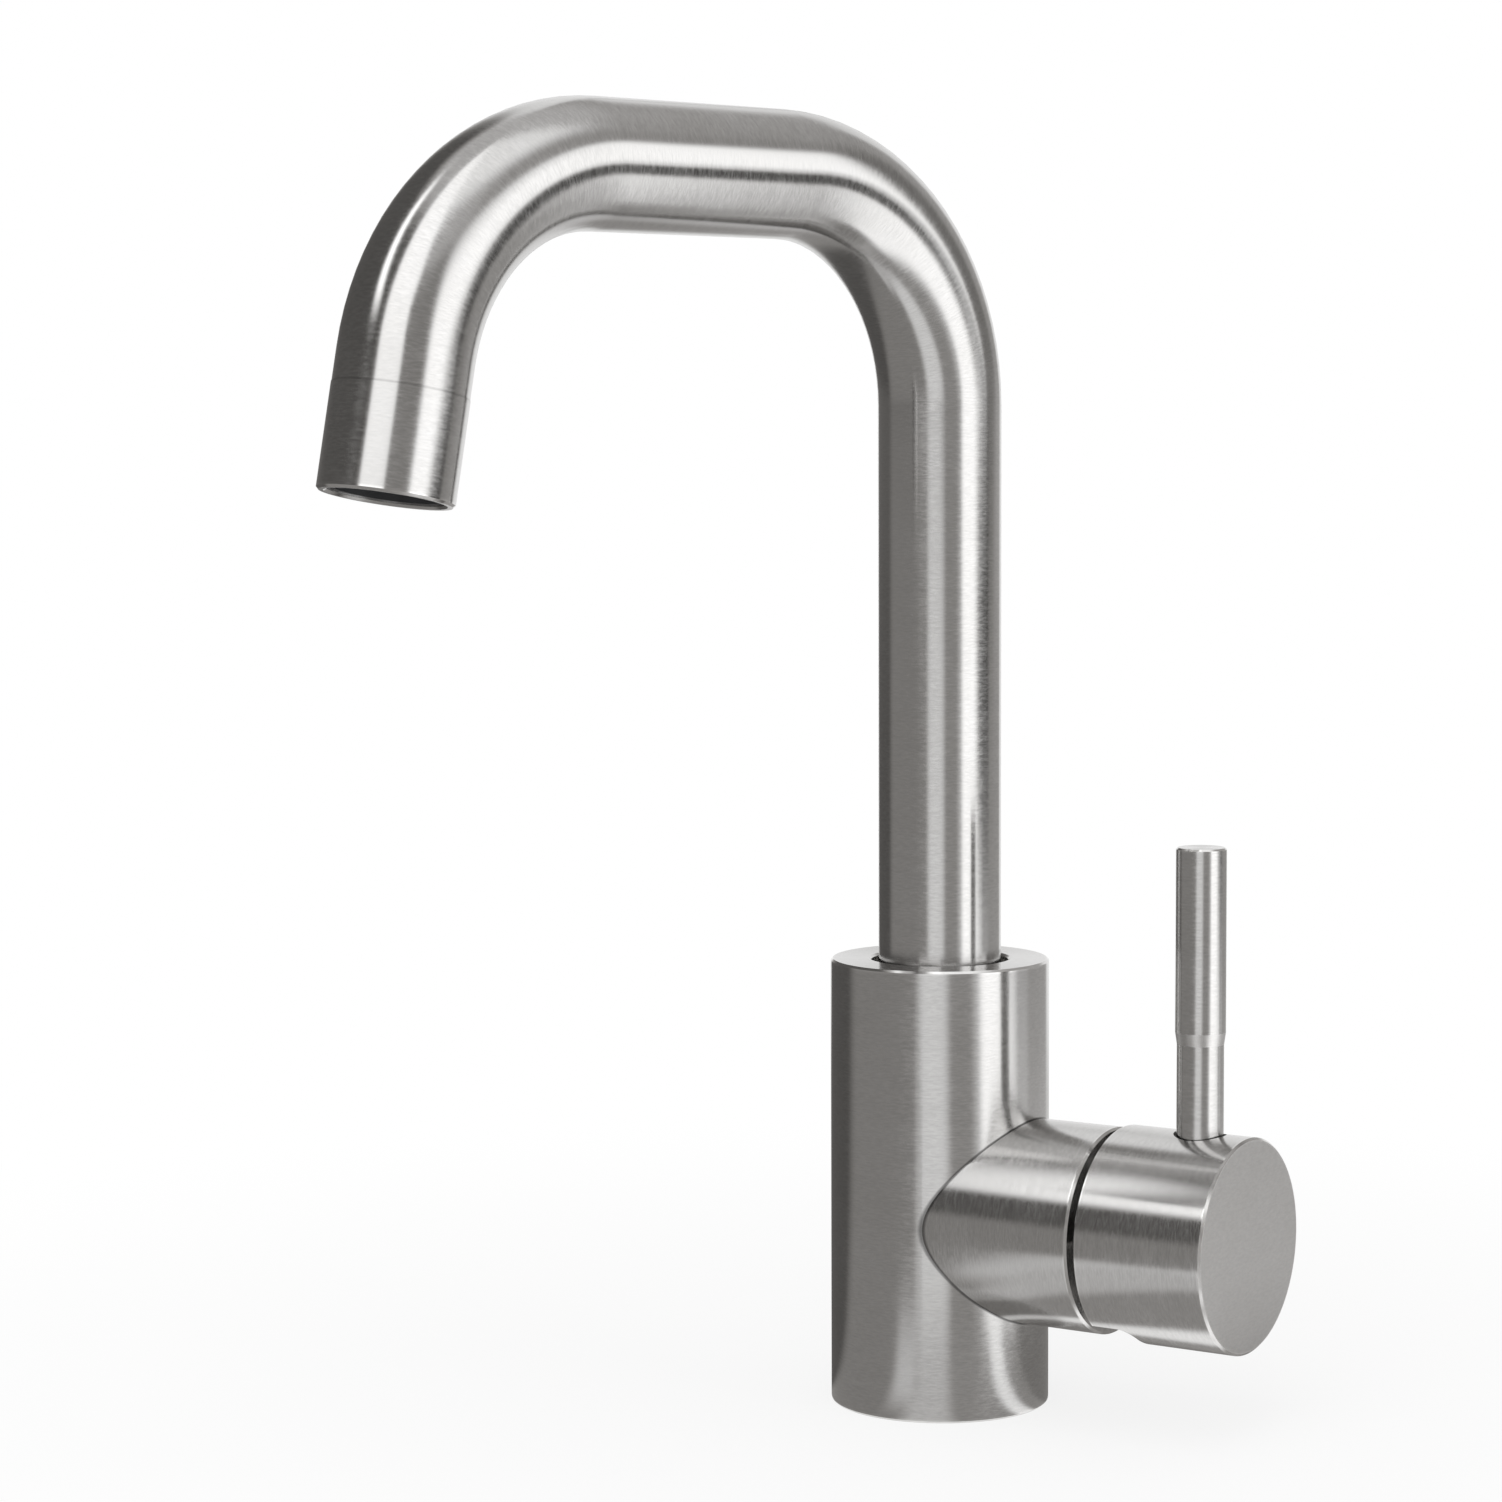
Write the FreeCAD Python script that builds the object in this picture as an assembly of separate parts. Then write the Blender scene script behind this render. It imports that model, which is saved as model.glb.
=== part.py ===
import FreeCAD, Part
import math
import os
from FreeCAD import Vector

# Gooseneck bar faucet with a side lever. Millimetres and degrees, +Z up.
# Origin: centre of the column's foot on the deck. +X: out along the handle's axis.

# ---- Driving dimensions ------------------------------------------------------

# Column
body_diameter = 50.0
edge_bevel = 0.5
axis_height = 44.0          # handle's axis above the deck
socket_wall = 6.25          # metal between the cartridge bore and the spout socket

# Underside
seal_inset = 2.0            # metal left outside the base seal's groove
seal_width = 2.6
seal_thickness = 2.2
hose_port_diameter = 9.0    # tapped for an M10 x 1 hose end
hose_port_depth = 16.0
hose_port_spacing = 19.0
hose_port_setback = 4.0     # behind the column's axis
riser_diameter = 6.0        # waterways above the hose ports
riser_land = 0.3            # between the outlet's riser and the spout socket's wall
stud_hole_diameter = 6.8    # tapped for an M8 stud
stud_hole_depth = 15.0
stud_hole_offset = 8.0      # ahead of the column's axis

# Spout
tube_diameter = 28.0
tube_wall = 1.2
spout_height = 278.5        # centre line of the level run above the deck
bend_radius = 50.0
run_length = 54.0
outlet_turn = 79.0
outlet_leg = 7.0
spout_angle = -103.5        # resting direction, from the handle's axis
sleeve_diameter = 28.2
sleeve_length = 21.8
sleeve_spigot_length = 4.0

# Spout's swivel joint
nipple_step = 1.78          # sealing part's radius is this much under the tube's
nipple_bore = 14.0
nipple_spigot_length = 10.0
nipple_flange_thickness = 1.5
nipple_foot_gap = 0.6
nipple_land = 1.6
nipple_mid_land = 2.4
nipple_top_land = 1.2
o_ring_section = 2.0
groove_play = 0.8           # groove's width beyond the ring's section
screw_groove_width = 3.2
screw_groove_depth = 1.8
thrust_ring_thickness = 1.0
bush_wall = 1.57
bush_length = 12.5
bush_recess = 4.0           # top of the bush below the column's rim
retaining_screw_diameter = 5.0
retaining_screw_recess = 1.5
screw_tip_play = 0.2
screw_tip_room = 0.6        # between the screw's tip and the groove's bottom
hex_socket_depth = 2.5
key_share = 0.58            # hex socket's corners, as a share of the thread

# Aerator
aerator_diameter = 24.0
aerator_wall = 1.1
aerator_recess = 0.8
aerator_length = 12.7
aerator_lip = 1.8
aerator_ledge = 0.5         # lip's reach inwards, under the screen
gasket_thickness = 2.0
gasket_width = 2.7
screen_thickness = 0.8
screen_hole_size = 2.3      # across the corners of a six-sided hole
screen_web = 0.6
insert_length = 8.0
insert_plate = 2.0
jet_diameter = 2.4
jet_count = 8

# Cartridge
cartridge_diameter = 35.0
cartridge_play = 0.25       # radial room in the body's bore
cartridge_seat = 1.0        # seat face ahead of the column's axis
base_thickness = 4.5
fixed_disc_thickness = 4.0
moving_disc_thickness = 3.5
driver_thickness = 5.0
pivot_setback = 8.0         # pin's axis ahead of the carrier's inner face
carrier_length = 12.7
shoulder_thickness = 2.6
housing_wall = 2.3
housing_neck_length = 4.5
housing_neck_wall = 1.9
carrier_neck_wall = 1.25
carrier_overhang = 0.5
disc_margin = 0.55          # room round the moving disc at full travel
pivot_pin_diameter = 3.0
pin_end_room = 0.7          # between the pin's ends and the housing
inlet_diameter = 5.0
inlet_spread = 13.0         # between the two inlet ports
inlet_rise = 5.0            # inlet ports above the handle's axis
outlet_diameter = 6.0
outlet_drop = 6.5           # outlet port below the handle's axis
port_seal_width = 1.5
base_seal_height = 1.5
disc_seal_height = 1.2
peg_diameter = 3.8
peg_length = 2.5
peg_spread = 21.0
peg_drop = 7.0
key_diameter = 3.0
key_length = 2.0
key_spread = 23.0
mix_pocket_depth = 1.8
mix_pocket_land = 0.6       # closed edge between the pocket and the inlets
driver_width = 21.0
driver_peg_diameter = 3.0
driver_peg_length = 1.2
driver_peg_spread = 17.0
rail_length = 4.0           # carrier's rails beside the driver
pin_bevel = 0.3
nut_shoulder = 1.5          # thread's radius beyond the cartridge's
nut_thread_length = 6.0
nut_hex_length = 4.0
nut_hex_inset = 3.5         # flats inside the thread's radius
nut_room = 0.3
mouth_recess = 2.3
branch_wall = 4.25
bonnet_flange = 1.0
bonnet_skin = 1.0
bonnet_rise = 3.8

# Handle
flow_range = 20.0           # lever's tilt from closed to fully open
stem_width = 8.0
stem_tail = 4.0             # stem's square part behind the pin
stem_bevel = 0.8
arm_diameter = 2.9          # arm between the stem's square part and its ball
stem_overlap = 5.25         # stem's end beyond the lever's axis
cap_step = 0.75             # cap's radius beyond the branch's
cap_gap = 2.0
cap_length = 31.2
cap_wall = 1.8
cap_solid = 19.0
notch_width = 30.8
notch_length = 9.7
notch_corner = 3.5
lever_inset = 12.25         # lever's axis inside the cap's flat end
lever_neck_diameter = 10.4
lever_grip_diameter = 11.2
lever_neck_length = 24.0
lever_taper_length = 2.7
lever_grip_length = 40.8
lever_bevel = 0.4
lever_hole_depth = 4.0
lever_hole_gap = 0.65
thread_diameter = 6.0
lever_tail_length = 8.0
grub_screw_length = 7.5

# Clearances
seat_gap = 0.05             # between pieces that are fixed together
running_gap = 0.08          # a turning piece in its guide
face_gap = 0.02             # between the two ceramic faces
slide_gap = 0.1             # end play of the moving pieces
stem_play = 0.1
sweep_room = 0.3            # round the stem at the ends of its travel
pocket_play = 0.25          # round the ball in the driver

# ---- Worked out from them ----------------------------------------------------

ORIGIN = Vector(0, 0, 0)
UP = Vector(0, 0, 1)
OUT = Vector(1, 0, 0)
ACROSS = Vector(0, 1, 0)
SIDES = (-1, 1)
TILT = math.radians(flow_range)
O_RING_SIDES = 8
HEX_FLATS = math.cos(math.radians(30))   # a hexagon's width over its flats, for 1 over its corners

body_radius = body_diameter / 2
tube_radius = tube_diameter / 2
axis_centre = UP * axis_height

# Cartridge, from its seat outwards
cartridge_radius = cartridge_diameter / 2
bore_radius = cartridge_radius + cartridge_play
disc_seat = cartridge_seat + base_thickness
moving_start = disc_seat + fixed_disc_thickness + face_gap
driver_start = moving_start + moving_disc_thickness
driver_end = driver_start + driver_thickness
carrier_start = driver_end + slide_gap
pivot_place = carrier_start + pivot_setback
carrier_end = carrier_start + carrier_length
shoulder_start = carrier_end + slide_gap
shoulder_end = shoulder_start + shoulder_thickness
neck_end = shoulder_end + housing_neck_length
carrier_tip = neck_end + carrier_overhang
nut_hex_start = shoulder_end + nut_thread_length
nut_end = nut_hex_start + nut_hex_length
branch_reach = nut_end + mouth_recess
housing_bore = cartridge_radius - housing_wall
nut_radius = cartridge_radius + nut_shoulder
branch_radius = nut_radius + branch_wall

# Stem and the parts that it moves
ball_arm = pivot_place - driver_start - driver_thickness / 2
disc_travel = ball_arm * TILT
ball_radius = driver_thickness / 2 - pocket_play
arm_radius = arm_diameter / 2
moving_disc_radius = housing_bore - disc_travel / 2 - disc_margin
disc_drop = disc_travel / 2  # disc's centre below the axis when closed
stem_half = stem_width / 2
slot_half = stem_half + stem_play


def stem_sweep(distance):
    """How far below the axis the tilted stem reaches, this far ahead of its pin."""
    return distance * math.tan(TILT) + stem_half / math.cos(TILT)


slot_low = stem_sweep(carrier_tip - pivot_place) + sweep_room
carrier_neck_radius = math.hypot(slot_low, slot_half) + carrier_neck_wall
neck_bore = carrier_neck_radius + running_gap
neck_radius = neck_bore + housing_neck_wall
nut_bore = neck_radius + nut_room
bonnet_end = nut_end + bonnet_rise
bonnet_hole = math.hypot(stem_sweep(bonnet_end - pivot_place) + sweep_room, stem_half) + sweep_room

# Cap and lever
cap_radius = branch_radius + cap_step
cap_rear = branch_reach + cap_gap
cap_front = cap_rear + cap_length
cap_floor = cap_front - cap_solid
lever_place = cap_front - lever_inset
stem_end = lever_place + stem_overlap
lever_seat = cap_radius - lever_hole_depth
thread_radius = thread_diameter / 2
lever_top = lever_seat + lever_neck_length + lever_taper_length + lever_grip_length

# Spout socket, from its floor upwards
groove_width = o_ring_section + groove_play
socket_floor = axis_height + bore_radius + socket_wall
nipple_foot = socket_floor + nipple_foot_gap
lower_groove = nipple_foot + nipple_land
screw_groove = lower_groove + groove_width + nipple_mid_land
upper_groove = screw_groove + screw_groove_width + nipple_mid_land
socket_step = upper_groove + groove_width + nipple_top_land
bush_foot = socket_step + thrust_ring_thickness
bush_top = bush_foot + bush_length
body_height = bush_top + bush_recess
flange_foot = bush_foot + running_gap
tube_foot = flange_foot + nipple_flange_thickness
nipple_radius = tube_radius - nipple_step
seal_bore = nipple_radius + running_gap
o_ring_centre = seal_bore - seat_gap - o_ring_section / 2
groove_radius = o_ring_centre - o_ring_section / 2 - seat_gap
bush_bore = tube_radius + running_gap
bush_radius = bush_bore + bush_wall
socket_radius = bush_radius + seat_gap
screw_height = screw_groove + screw_groove_width / 2
retaining_screw_radius = retaining_screw_diameter / 2

# Outlet
aerator_radius = aerator_diameter / 2
aerator_bore = aerator_radius - aerator_wall
aerator_end = aerator_recess + aerator_length
gasket_end = aerator_end + gasket_thickness
screen_start = aerator_recess + aerator_lip
insert_start = screen_start + screen_thickness
insert_end = insert_start + insert_length
insert_radius = aerator_bore - seat_gap


# ---- Shapes ------------------------------------------------------------------

def across(along):
    """Unit direction square to a line that lies in the XZ plane or runs along Y."""
    return OUT if along == ACROSS else along.cross(ACROSS)


def turned(outline, along=UP, centre=ORIGIN):
    """Solid turned about a line from the (radius, distance) corners of its section."""
    side = across(along)
    corners = [centre + side * radius + along * distance for radius, distance in outline]
    section = Part.Face(Part.makePolygon(corners + corners[:1]))
    solid = section.revolve(centre, along, 360)
    return solid if solid.Volume > 0 else solid.reversed()


def rod(radius, low, high, along=UP, centre=ORIGIN, bevel=0.0):
    """Round bar between two distances along a line, with both ends bevelled."""
    if bevel == 0.0:
        return Part.makeCylinder(radius, high - low, centre + along * low, along)
    outline = [(0, low), (radius - bevel, low), (radius, low + bevel),
               (radius, high - bevel), (radius - bevel, high), (0, high)]
    return turned(outline, along, centre)


def ring(outer, inner, low, high, along=UP, centre=ORIGIN):
    """Plain ring between two distances along a line."""
    return turned([(inner, low), (outer, low), (outer, high), (inner, high)], along, centre)


def block(low, high):
    """Box between two opposite corners."""
    size = high - low
    return Part.makeBox(size.x, size.y, size.z, low)


def hexagon(across_corners, low, high, along=UP, centre=ORIGIN):
    """Six-sided bar between two distances along a line."""
    side = across(along)
    start = centre + along * low
    corners = []
    for turn in range(7):
        angle = math.radians(60 * turn)
        arm = side * math.cos(angle) + along.cross(side) * math.sin(angle)
        corners.append(start + arm * (across_corners / 2))
    return Part.Face(Part.makePolygon(corners)).extrude(along * (high - low))


def pipe(radius, foot, steps):
    """Round bar along straight legs and bends in the XZ plane, starting upwards.

    Returns the bar, its far end and the direction there.
    """
    here = foot
    heading = UP
    pieces = []
    for kind, amount in steps:
        if kind == "leg":
            pieces.append(Part.makeCylinder(radius, amount, here, heading))
            here = here + heading * amount
        else:
            centre = here + ACROSS.cross(heading) * bend_radius
            disc = Part.Face(Part.Wire(Part.makeCircle(radius, here, heading)))
            bend = disc.revolve(centre, ACROSS, amount)
            pieces.append(bend if bend.Volume > 0 else bend.reversed())
            turn = FreeCAD.Rotation(ACROSS, amount)
            here = centre + turn.multVec(here - centre)
            heading = turn.multVec(heading)
    return pieces[0].fuse(pieces[1:]).removeSplitter(), here, heading


def on_handle(x, y, z):
    """Point given from the handle's axis instead of from the deck."""
    return Vector(x, y, axis_height + z)


def handle_rod(radius, start, end, y=0.0, z=0.0, bevel=0.0):
    """Round bar parallel to the handle's axis."""
    return rod(radius, start, end, OUT, on_handle(0, y, z), bevel)


def handle_ring(outer, inner, start, end, y=0.0, z=0.0):
    """Plain ring round a line parallel to the handle's axis."""
    return ring(outer, inner, start, end, OUT, on_handle(0, y, z))


def handle_turned(outline):
    """Solid turned about the handle's axis."""
    return turned(outline, OUT, axis_centre)


def at_spout(shape):
    """Turns a piece drawn with the spout towards +X to the spout's resting direction."""
    shape.rotate(ORIGIN, UP, spout_angle)
    return shape


# ---- Column ------------------------------------------------------------------

def water_ways():
    """Hose ports, their risers, the three cartridge ports and the way up to the spout."""
    ways = []
    for side in SIDES:
        foot = Vector(-hose_port_setback, side * hose_port_spacing / 2, 0)
        ways.append(rod(hose_port_diameter / 2, 0, hose_port_depth, UP, foot))
        ways.append(rod(riser_diameter / 2, 0, axis_height + inlet_rise, UP, foot))
        ways.append(handle_rod(inlet_diameter / 2, -hose_port_setback, cartridge_seat,
                               side * inlet_spread / 2, inlet_rise))
    outlet_radius = outlet_diameter / 2
    setback = nipple_radius - outlet_radius - riser_land
    ways.append(handle_rod(outlet_radius, -setback, cartridge_seat, 0, -outlet_drop))
    ways.append(rod(outlet_radius, axis_height - outlet_drop, socket_floor, UP, OUT * -setback))
    return ways


def body():
    """Column and branch in one, bored for the spout, the cartridge, the hoses and the stud."""
    column = rod(body_radius, 0, body_height, bevel=edge_bevel)
    branch = handle_turned([
        (0, 0), (branch_radius, 0), (branch_radius, branch_reach - edge_bevel),
        (branch_radius - edge_bevel, branch_reach), (0, branch_reach)])
    solid = column.fuse(branch)
    socket = turned([
        (0, socket_floor), (seal_bore, socket_floor), (seal_bore, socket_step),
        (socket_radius, socket_step), (socket_radius, body_height - edge_bevel),
        (socket_radius + edge_bevel, body_height), (0, body_height)])
    thread_bore = nut_radius + seat_gap
    cartridge_bore = handle_turned([
        (0, cartridge_seat), (bore_radius, cartridge_seat),
        (bore_radius, shoulder_end - edge_bevel), (thread_bore, shoulder_end - edge_bevel),
        (thread_bore, branch_reach - edge_bevel), (thread_bore + edge_bevel, branch_reach),
        (0, branch_reach)])
    seal_outer = body_radius - seal_inset
    cuts = [socket, cartridge_bore]
    cuts.append(ring(seal_outer, seal_outer - seal_width, 0, seal_thickness))
    cuts.append(rod(stud_hole_diameter / 2, 0, stud_hole_depth, UP, OUT * stud_hole_offset))
    cuts.append(rod(retaining_screw_radius + seat_gap, 0, body_radius, ACROSS,
                    UP * screw_height))
    cuts += locating_pegs(peg_diameter / 2 + seat_gap, cartridge_seat - peg_length - seat_gap,
                          cartridge_seat)
    return solid.cut(cuts + water_ways()).removeSplitter()


def base_seal_ring():
    """Rubber ring in the groove of the foot, flush with it once the nut is drawn up."""
    seal_outer = body_radius - seal_inset
    return ring(seal_outer - seat_gap, seal_outer - seal_width + seat_gap,
                0, seal_thickness - seat_gap)


# ---- Cartridge, fixed pieces -------------------------------------------------

# Radius, y and height from the handle's axis of the two inlets and the outlet.
PORTS = [(inlet_diameter / 2, side * inlet_spread / 2, inlet_rise) for side in SIDES]
PORTS.append((outlet_diameter / 2, 0.0, -outlet_drop))


def port_holes(start, end, widen=0.0):
    """The three water ports between two distances along the handle's axis."""
    return [handle_rod(radius + widen, start, end, y, z) for radius, y, z in PORTS]


def locating_pegs(radius, start, end):
    """Two pegs between the cartridge's plate and the floor of its bore."""
    return [handle_rod(radius, start, end, side * peg_spread / 2, -peg_drop) for side in SIDES]


def disc_keys(radius, start, end):
    """Two round keys that stop the fixed disc from turning."""
    return [handle_rod(radius, start, end, side * key_spread / 2) for side in SIDES]


def cartridge_base():
    """Round plate with the ports, the seats of their seals, locating pegs and disc keys."""
    plate = handle_rod(cartridge_radius, cartridge_seat, disc_seat, bevel=edge_bevel)
    plate = plate.fuse(
        locating_pegs(peg_diameter / 2, cartridge_seat - peg_length, disc_seat)
        + disc_keys(key_diameter / 2, cartridge_seat, disc_seat + key_length))
    cuts = port_holes(cartridge_seat, disc_seat)
    cuts += port_holes(cartridge_seat, cartridge_seat + base_seal_height, port_seal_width)
    cuts += port_holes(disc_seat - disc_seal_height, disc_seat, port_seal_width)
    return plate.cut(cuts).removeSplitter()


def port_seals(start, end):
    """Three rubber rings, one round each port."""
    return Part.makeCompound([
        handle_ring(radius + port_seal_width - seat_gap, radius + seat_gap, start, end, y, z)
        for radius, y, z in PORTS])


def cartridge_base_seals():
    """Rings that seal the plate against the body."""
    return port_seals(cartridge_seat, cartridge_seat + base_seal_height - seat_gap)


def cartridge_disc_seals():
    """Rings that seal the plate against the fixed disc."""
    return port_seals(disc_seat - disc_seal_height + seat_gap, disc_seat)


def fixed_ceramic_disc():
    """Ceramic disc with the three ports, keyed to the plate behind it."""
    disc_end = disc_seat + fixed_disc_thickness
    disc = handle_rod(housing_bore - seat_gap, disc_seat, disc_end)
    keyways = disc_keys(key_diameter / 2 + seat_gap, disc_seat, disc_seat + key_length + seat_gap)
    return disc.cut(port_holes(disc_seat, disc_end) + keyways)


def cartridge_housing():
    """Cup that holds the discs and the carrier, with a shoulder for the nut and a neck."""
    return handle_turned([
        (housing_bore, disc_seat), (cartridge_radius, disc_seat),
        (cartridge_radius, shoulder_end), (neck_radius, shoulder_end),
        (neck_radius, neck_end), (neck_bore, neck_end),
        (neck_bore, shoulder_start), (housing_bore, shoulder_start)])


def cartridge_nut():
    """Brass ring nut: a threaded rim in the branch and a six-sided front."""
    rim = handle_rod(nut_radius, shoulder_end, nut_hex_start)
    corners = 2 * (nut_radius - nut_hex_inset) / HEX_FLATS
    front = hexagon(corners, nut_hex_start, nut_end, OUT, axis_centre)
    bore = handle_rod(nut_bore, shoulder_end, nut_end)
    return rim.fuse(front).cut(bore)


def bonnet_ring():
    """Sloping trim ring over the nut, open in the middle for the stem's sweep."""
    foot = nut_radius - bonnet_flange
    flange_end = nut_end + bonnet_flange
    return handle_turned([
        (nut_radius, nut_end), (nut_radius, flange_end), (foot, flange_end),
        (bonnet_hole + bonnet_skin, bonnet_end), (bonnet_hole, bonnet_end),
        (bonnet_hole, bonnet_end - bonnet_skin), (foot - bonnet_skin, nut_end)])


# ---- Cartridge, moving pieces ------------------------------------------------

def moving_ceramic_disc():
    """Ceramic disc with the mixing pocket on its inner face, shown closed."""
    disc = handle_rod(moving_disc_radius, moving_start, driver_start, 0, -disc_drop)
    port_reach = math.hypot(inlet_spread / 2, inlet_rise)
    hub = port_reach - inlet_diameter / 2 - mix_pocket_land
    pocket_end = moving_start + mix_pocket_depth
    cuts = [handle_rod(hub, moving_start, pocket_end),
            handle_rod(outlet_drop, moving_start, pocket_end, 0, -outlet_drop)]
    cuts += driver_pegs(driver_peg_diameter / 2 + seat_gap, driver_peg_length + seat_gap)
    return disc.cut(cuts)


def driver_pegs(radius, length):
    """Two round pegs that carry the disc along with the driver."""
    return [handle_rod(radius, driver_start - length, driver_start,
                       side * driver_peg_spread / 2, -disc_drop) for side in SIDES]


def disc_driver():
    """Plate with two flats that slides between the carrier's rails, moved by the ball."""
    plate = handle_rod(moving_disc_radius, driver_start, driver_end, 0, -disc_drop)
    guide = block(Vector(driver_start, -driver_width / 2, 0),
                  Vector(driver_end, driver_width / 2, 2 * axis_height))
    pocket = handle_rod(ball_radius + pocket_play, driver_start, driver_end)
    pegs = driver_pegs(driver_peg_diameter / 2, driver_peg_length)
    return plate.common(guide).fuse(pegs).cut(pocket)


def lever_carrier():
    """Turning block: rails for the driver, a neck in the housing and the stem's slot."""
    carrier_radius = housing_bore - running_gap
    rail_start = carrier_start - rail_length
    solid = handle_rod(carrier_radius, rail_start, carrier_end)
    solid = solid.fuse(handle_rod(carrier_neck_radius, carrier_end, carrier_tip))
    channel_half = driver_width / 2 + slide_gap
    channel = block(Vector(rail_start, -channel_half, 0),
                    Vector(carrier_start, channel_half, 2 * axis_height))
    tail_rise = stem_tail * math.sin(TILT) + stem_half * math.cos(TILT) + sweep_room
    foot_drop = stem_sweep(0) + sweep_room
    slot_rear = block(on_handle(carrier_start, -slot_half, -foot_drop),
                      on_handle(pivot_place + stem_half * math.sin(TILT) + sweep_room,
                                slot_half, tail_rise))
    top = stem_half + stem_play
    corners = [on_handle(pivot_place, -slot_half, top), on_handle(carrier_tip, -slot_half, top),
               on_handle(carrier_tip, -slot_half, -slot_low),
               on_handle(pivot_place, -slot_half, -foot_drop)]
    slot_front = Part.Face(Part.makePolygon(corners + corners[:1])).extrude(ACROSS * 2 * slot_half)
    pin_hole = pivot_rod(pivot_pin_diameter / 2 + seat_gap, 2 * carrier_radius)
    return solid.cut([channel, slot_rear, slot_front, pin_hole])


def pivot_rod(radius, length, bevel=0.0):
    """Round bar across the handle's axis, centred on the stem's pivot."""
    return rod(radius, -length / 2, length / 2, ACROSS, on_handle(pivot_place, 0, 0), bevel)


def pivot_pin():
    """Steel pin that the stem rocks on."""
    return pivot_rod(pivot_pin_diameter / 2, 2 * (housing_bore - pin_end_room), pin_bevel)


def cartridge_stem():
    """Square steel stem with a ball-ended arm behind its pin."""
    tail = pivot_place - stem_tail
    bar = block(on_handle(tail, -stem_half, -stem_half), on_handle(stem_end, stem_half, stem_half))
    long_edges = [edge for edge in bar.Edges if edge.BoundBox.XLength > stem_width]
    bar = bar.makeChamfer(stem_bevel, long_edges)
    ball_place = pivot_place - ball_arm
    arm = handle_rod(arm_radius, ball_place, tail + arm_radius)
    ball = Part.makeSphere(ball_radius, on_handle(ball_place, 0, 0))
    pin_hole = pivot_rod(pivot_pin_diameter / 2 + running_gap, stem_width)
    return bar.fuse([arm, ball]).cut(pin_hole)


# ---- Handle ------------------------------------------------------------------

def lever_line(radius, low, high):
    """Round bar on the lever's axis, between two heights above the handle's axis."""
    return rod(radius, low, high, UP, on_handle(lever_place, 0, 0))


def notch():
    """Cutting block for the cap's lower rear edge, with rounded inner corners."""
    tool = block(on_handle(cap_rear - edge_bevel, -notch_width / 2, -cap_radius - edge_bevel),
                 on_handle(cap_rear + notch_length, notch_width / 2, -cap_radius / 2))
    corners = [edge for edge in tool.Edges
               if edge.BoundBox.XMin > cap_rear and edge.BoundBox.ZLength > notch_corner]
    return tool.makeFillet(notch_corner, corners)


def handle_cap():
    """Round cap: thin skirt behind, solid front with the stem's socket and lever's hole."""
    skirt_bore = cap_radius - cap_wall
    cap = handle_turned([
        (skirt_bore, cap_rear), (cap_radius - edge_bevel, cap_rear),
        (cap_radius, cap_rear + edge_bevel), (cap_radius, cap_front - edge_bevel),
        (cap_radius - edge_bevel, cap_front), (0, cap_front), (0, cap_floor),
        (skirt_bore, cap_floor)])
    grip = stem_half + seat_gap
    socket = block(on_handle(cap_floor, -grip, -grip), on_handle(stem_end + slide_gap, grip, grip))
    lever_hole = lever_line(lever_neck_diameter / 2 + lever_hole_gap, lever_seat, cap_radius)
    tapping = lever_line(thread_radius + seat_gap, 0, lever_seat)
    return cap.cut([socket, lever_hole, tapping, notch()])


def lever_rod():
    """Turned lever: threaded tail, slim neck, short taper, thicker grip with a flat end."""
    neck = lever_neck_diameter / 2
    grip = lever_grip_diameter / 2
    neck_top = lever_seat + lever_neck_length
    return turned([
        (0, lever_seat - lever_tail_length), (thread_radius, lever_seat - lever_tail_length),
        (thread_radius, lever_seat), (neck, lever_seat), (neck, neck_top),
        (grip, neck_top + lever_taper_length), (grip, lever_top - lever_bevel),
        (grip - lever_bevel, lever_top), (0, lever_top)],
        UP, on_handle(lever_place, 0, 0))


def handle_grub_screw():
    """Headless screw under the lever that clamps the cap on the stem."""
    foot = stem_half + seat_gap
    top = stem_half + grub_screw_length
    screw = lever_line(thread_radius, foot, top)
    socket = hexagon(thread_diameter * key_share, top - hex_socket_depth, top,
                     UP, on_handle(lever_place, 0, 0))
    return screw.cut(socket)


# ---- Spout's swivel joint ----------------------------------------------------

def spout_thrust_ring():
    """Slippery washer on the socket's step that carries the spout."""
    return ring(socket_radius - seat_gap, seal_bore + seat_gap, socket_step, bush_foot)


def spout_glide_bush():
    """Sleeve that guides the tube in the column's mouth."""
    return turned([
        (bush_bore, bush_foot), (bush_radius, bush_foot), (bush_radius, bush_top - edge_bevel),
        (bush_radius - edge_bevel, bush_top), (bush_bore + edge_bevel, bush_top),
        (bush_bore, bush_top - edge_bevel)])


def spout_retaining_screw():
    """Headless screw from the back of the column, with its tip in the nipple's groove."""
    tip = screw_groove_width / 2 - screw_tip_play
    tip_end = nipple_radius - screw_groove_depth + screw_tip_room
    shank_start = seal_bore + edge_bevel
    shank_end = body_radius - retaining_screw_recess
    screw = turned([
        (0, tip_end), (tip, tip_end), (tip, shank_start), (retaining_screw_radius, shank_start),
        (retaining_screw_radius, shank_end), (0, shank_end)], ACROSS, UP * screw_height)
    socket = hexagon(retaining_screw_diameter * key_share, shank_end - hex_socket_depth, shank_end,
                     ACROSS, UP * screw_height)
    return screw.cut(socket)


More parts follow.
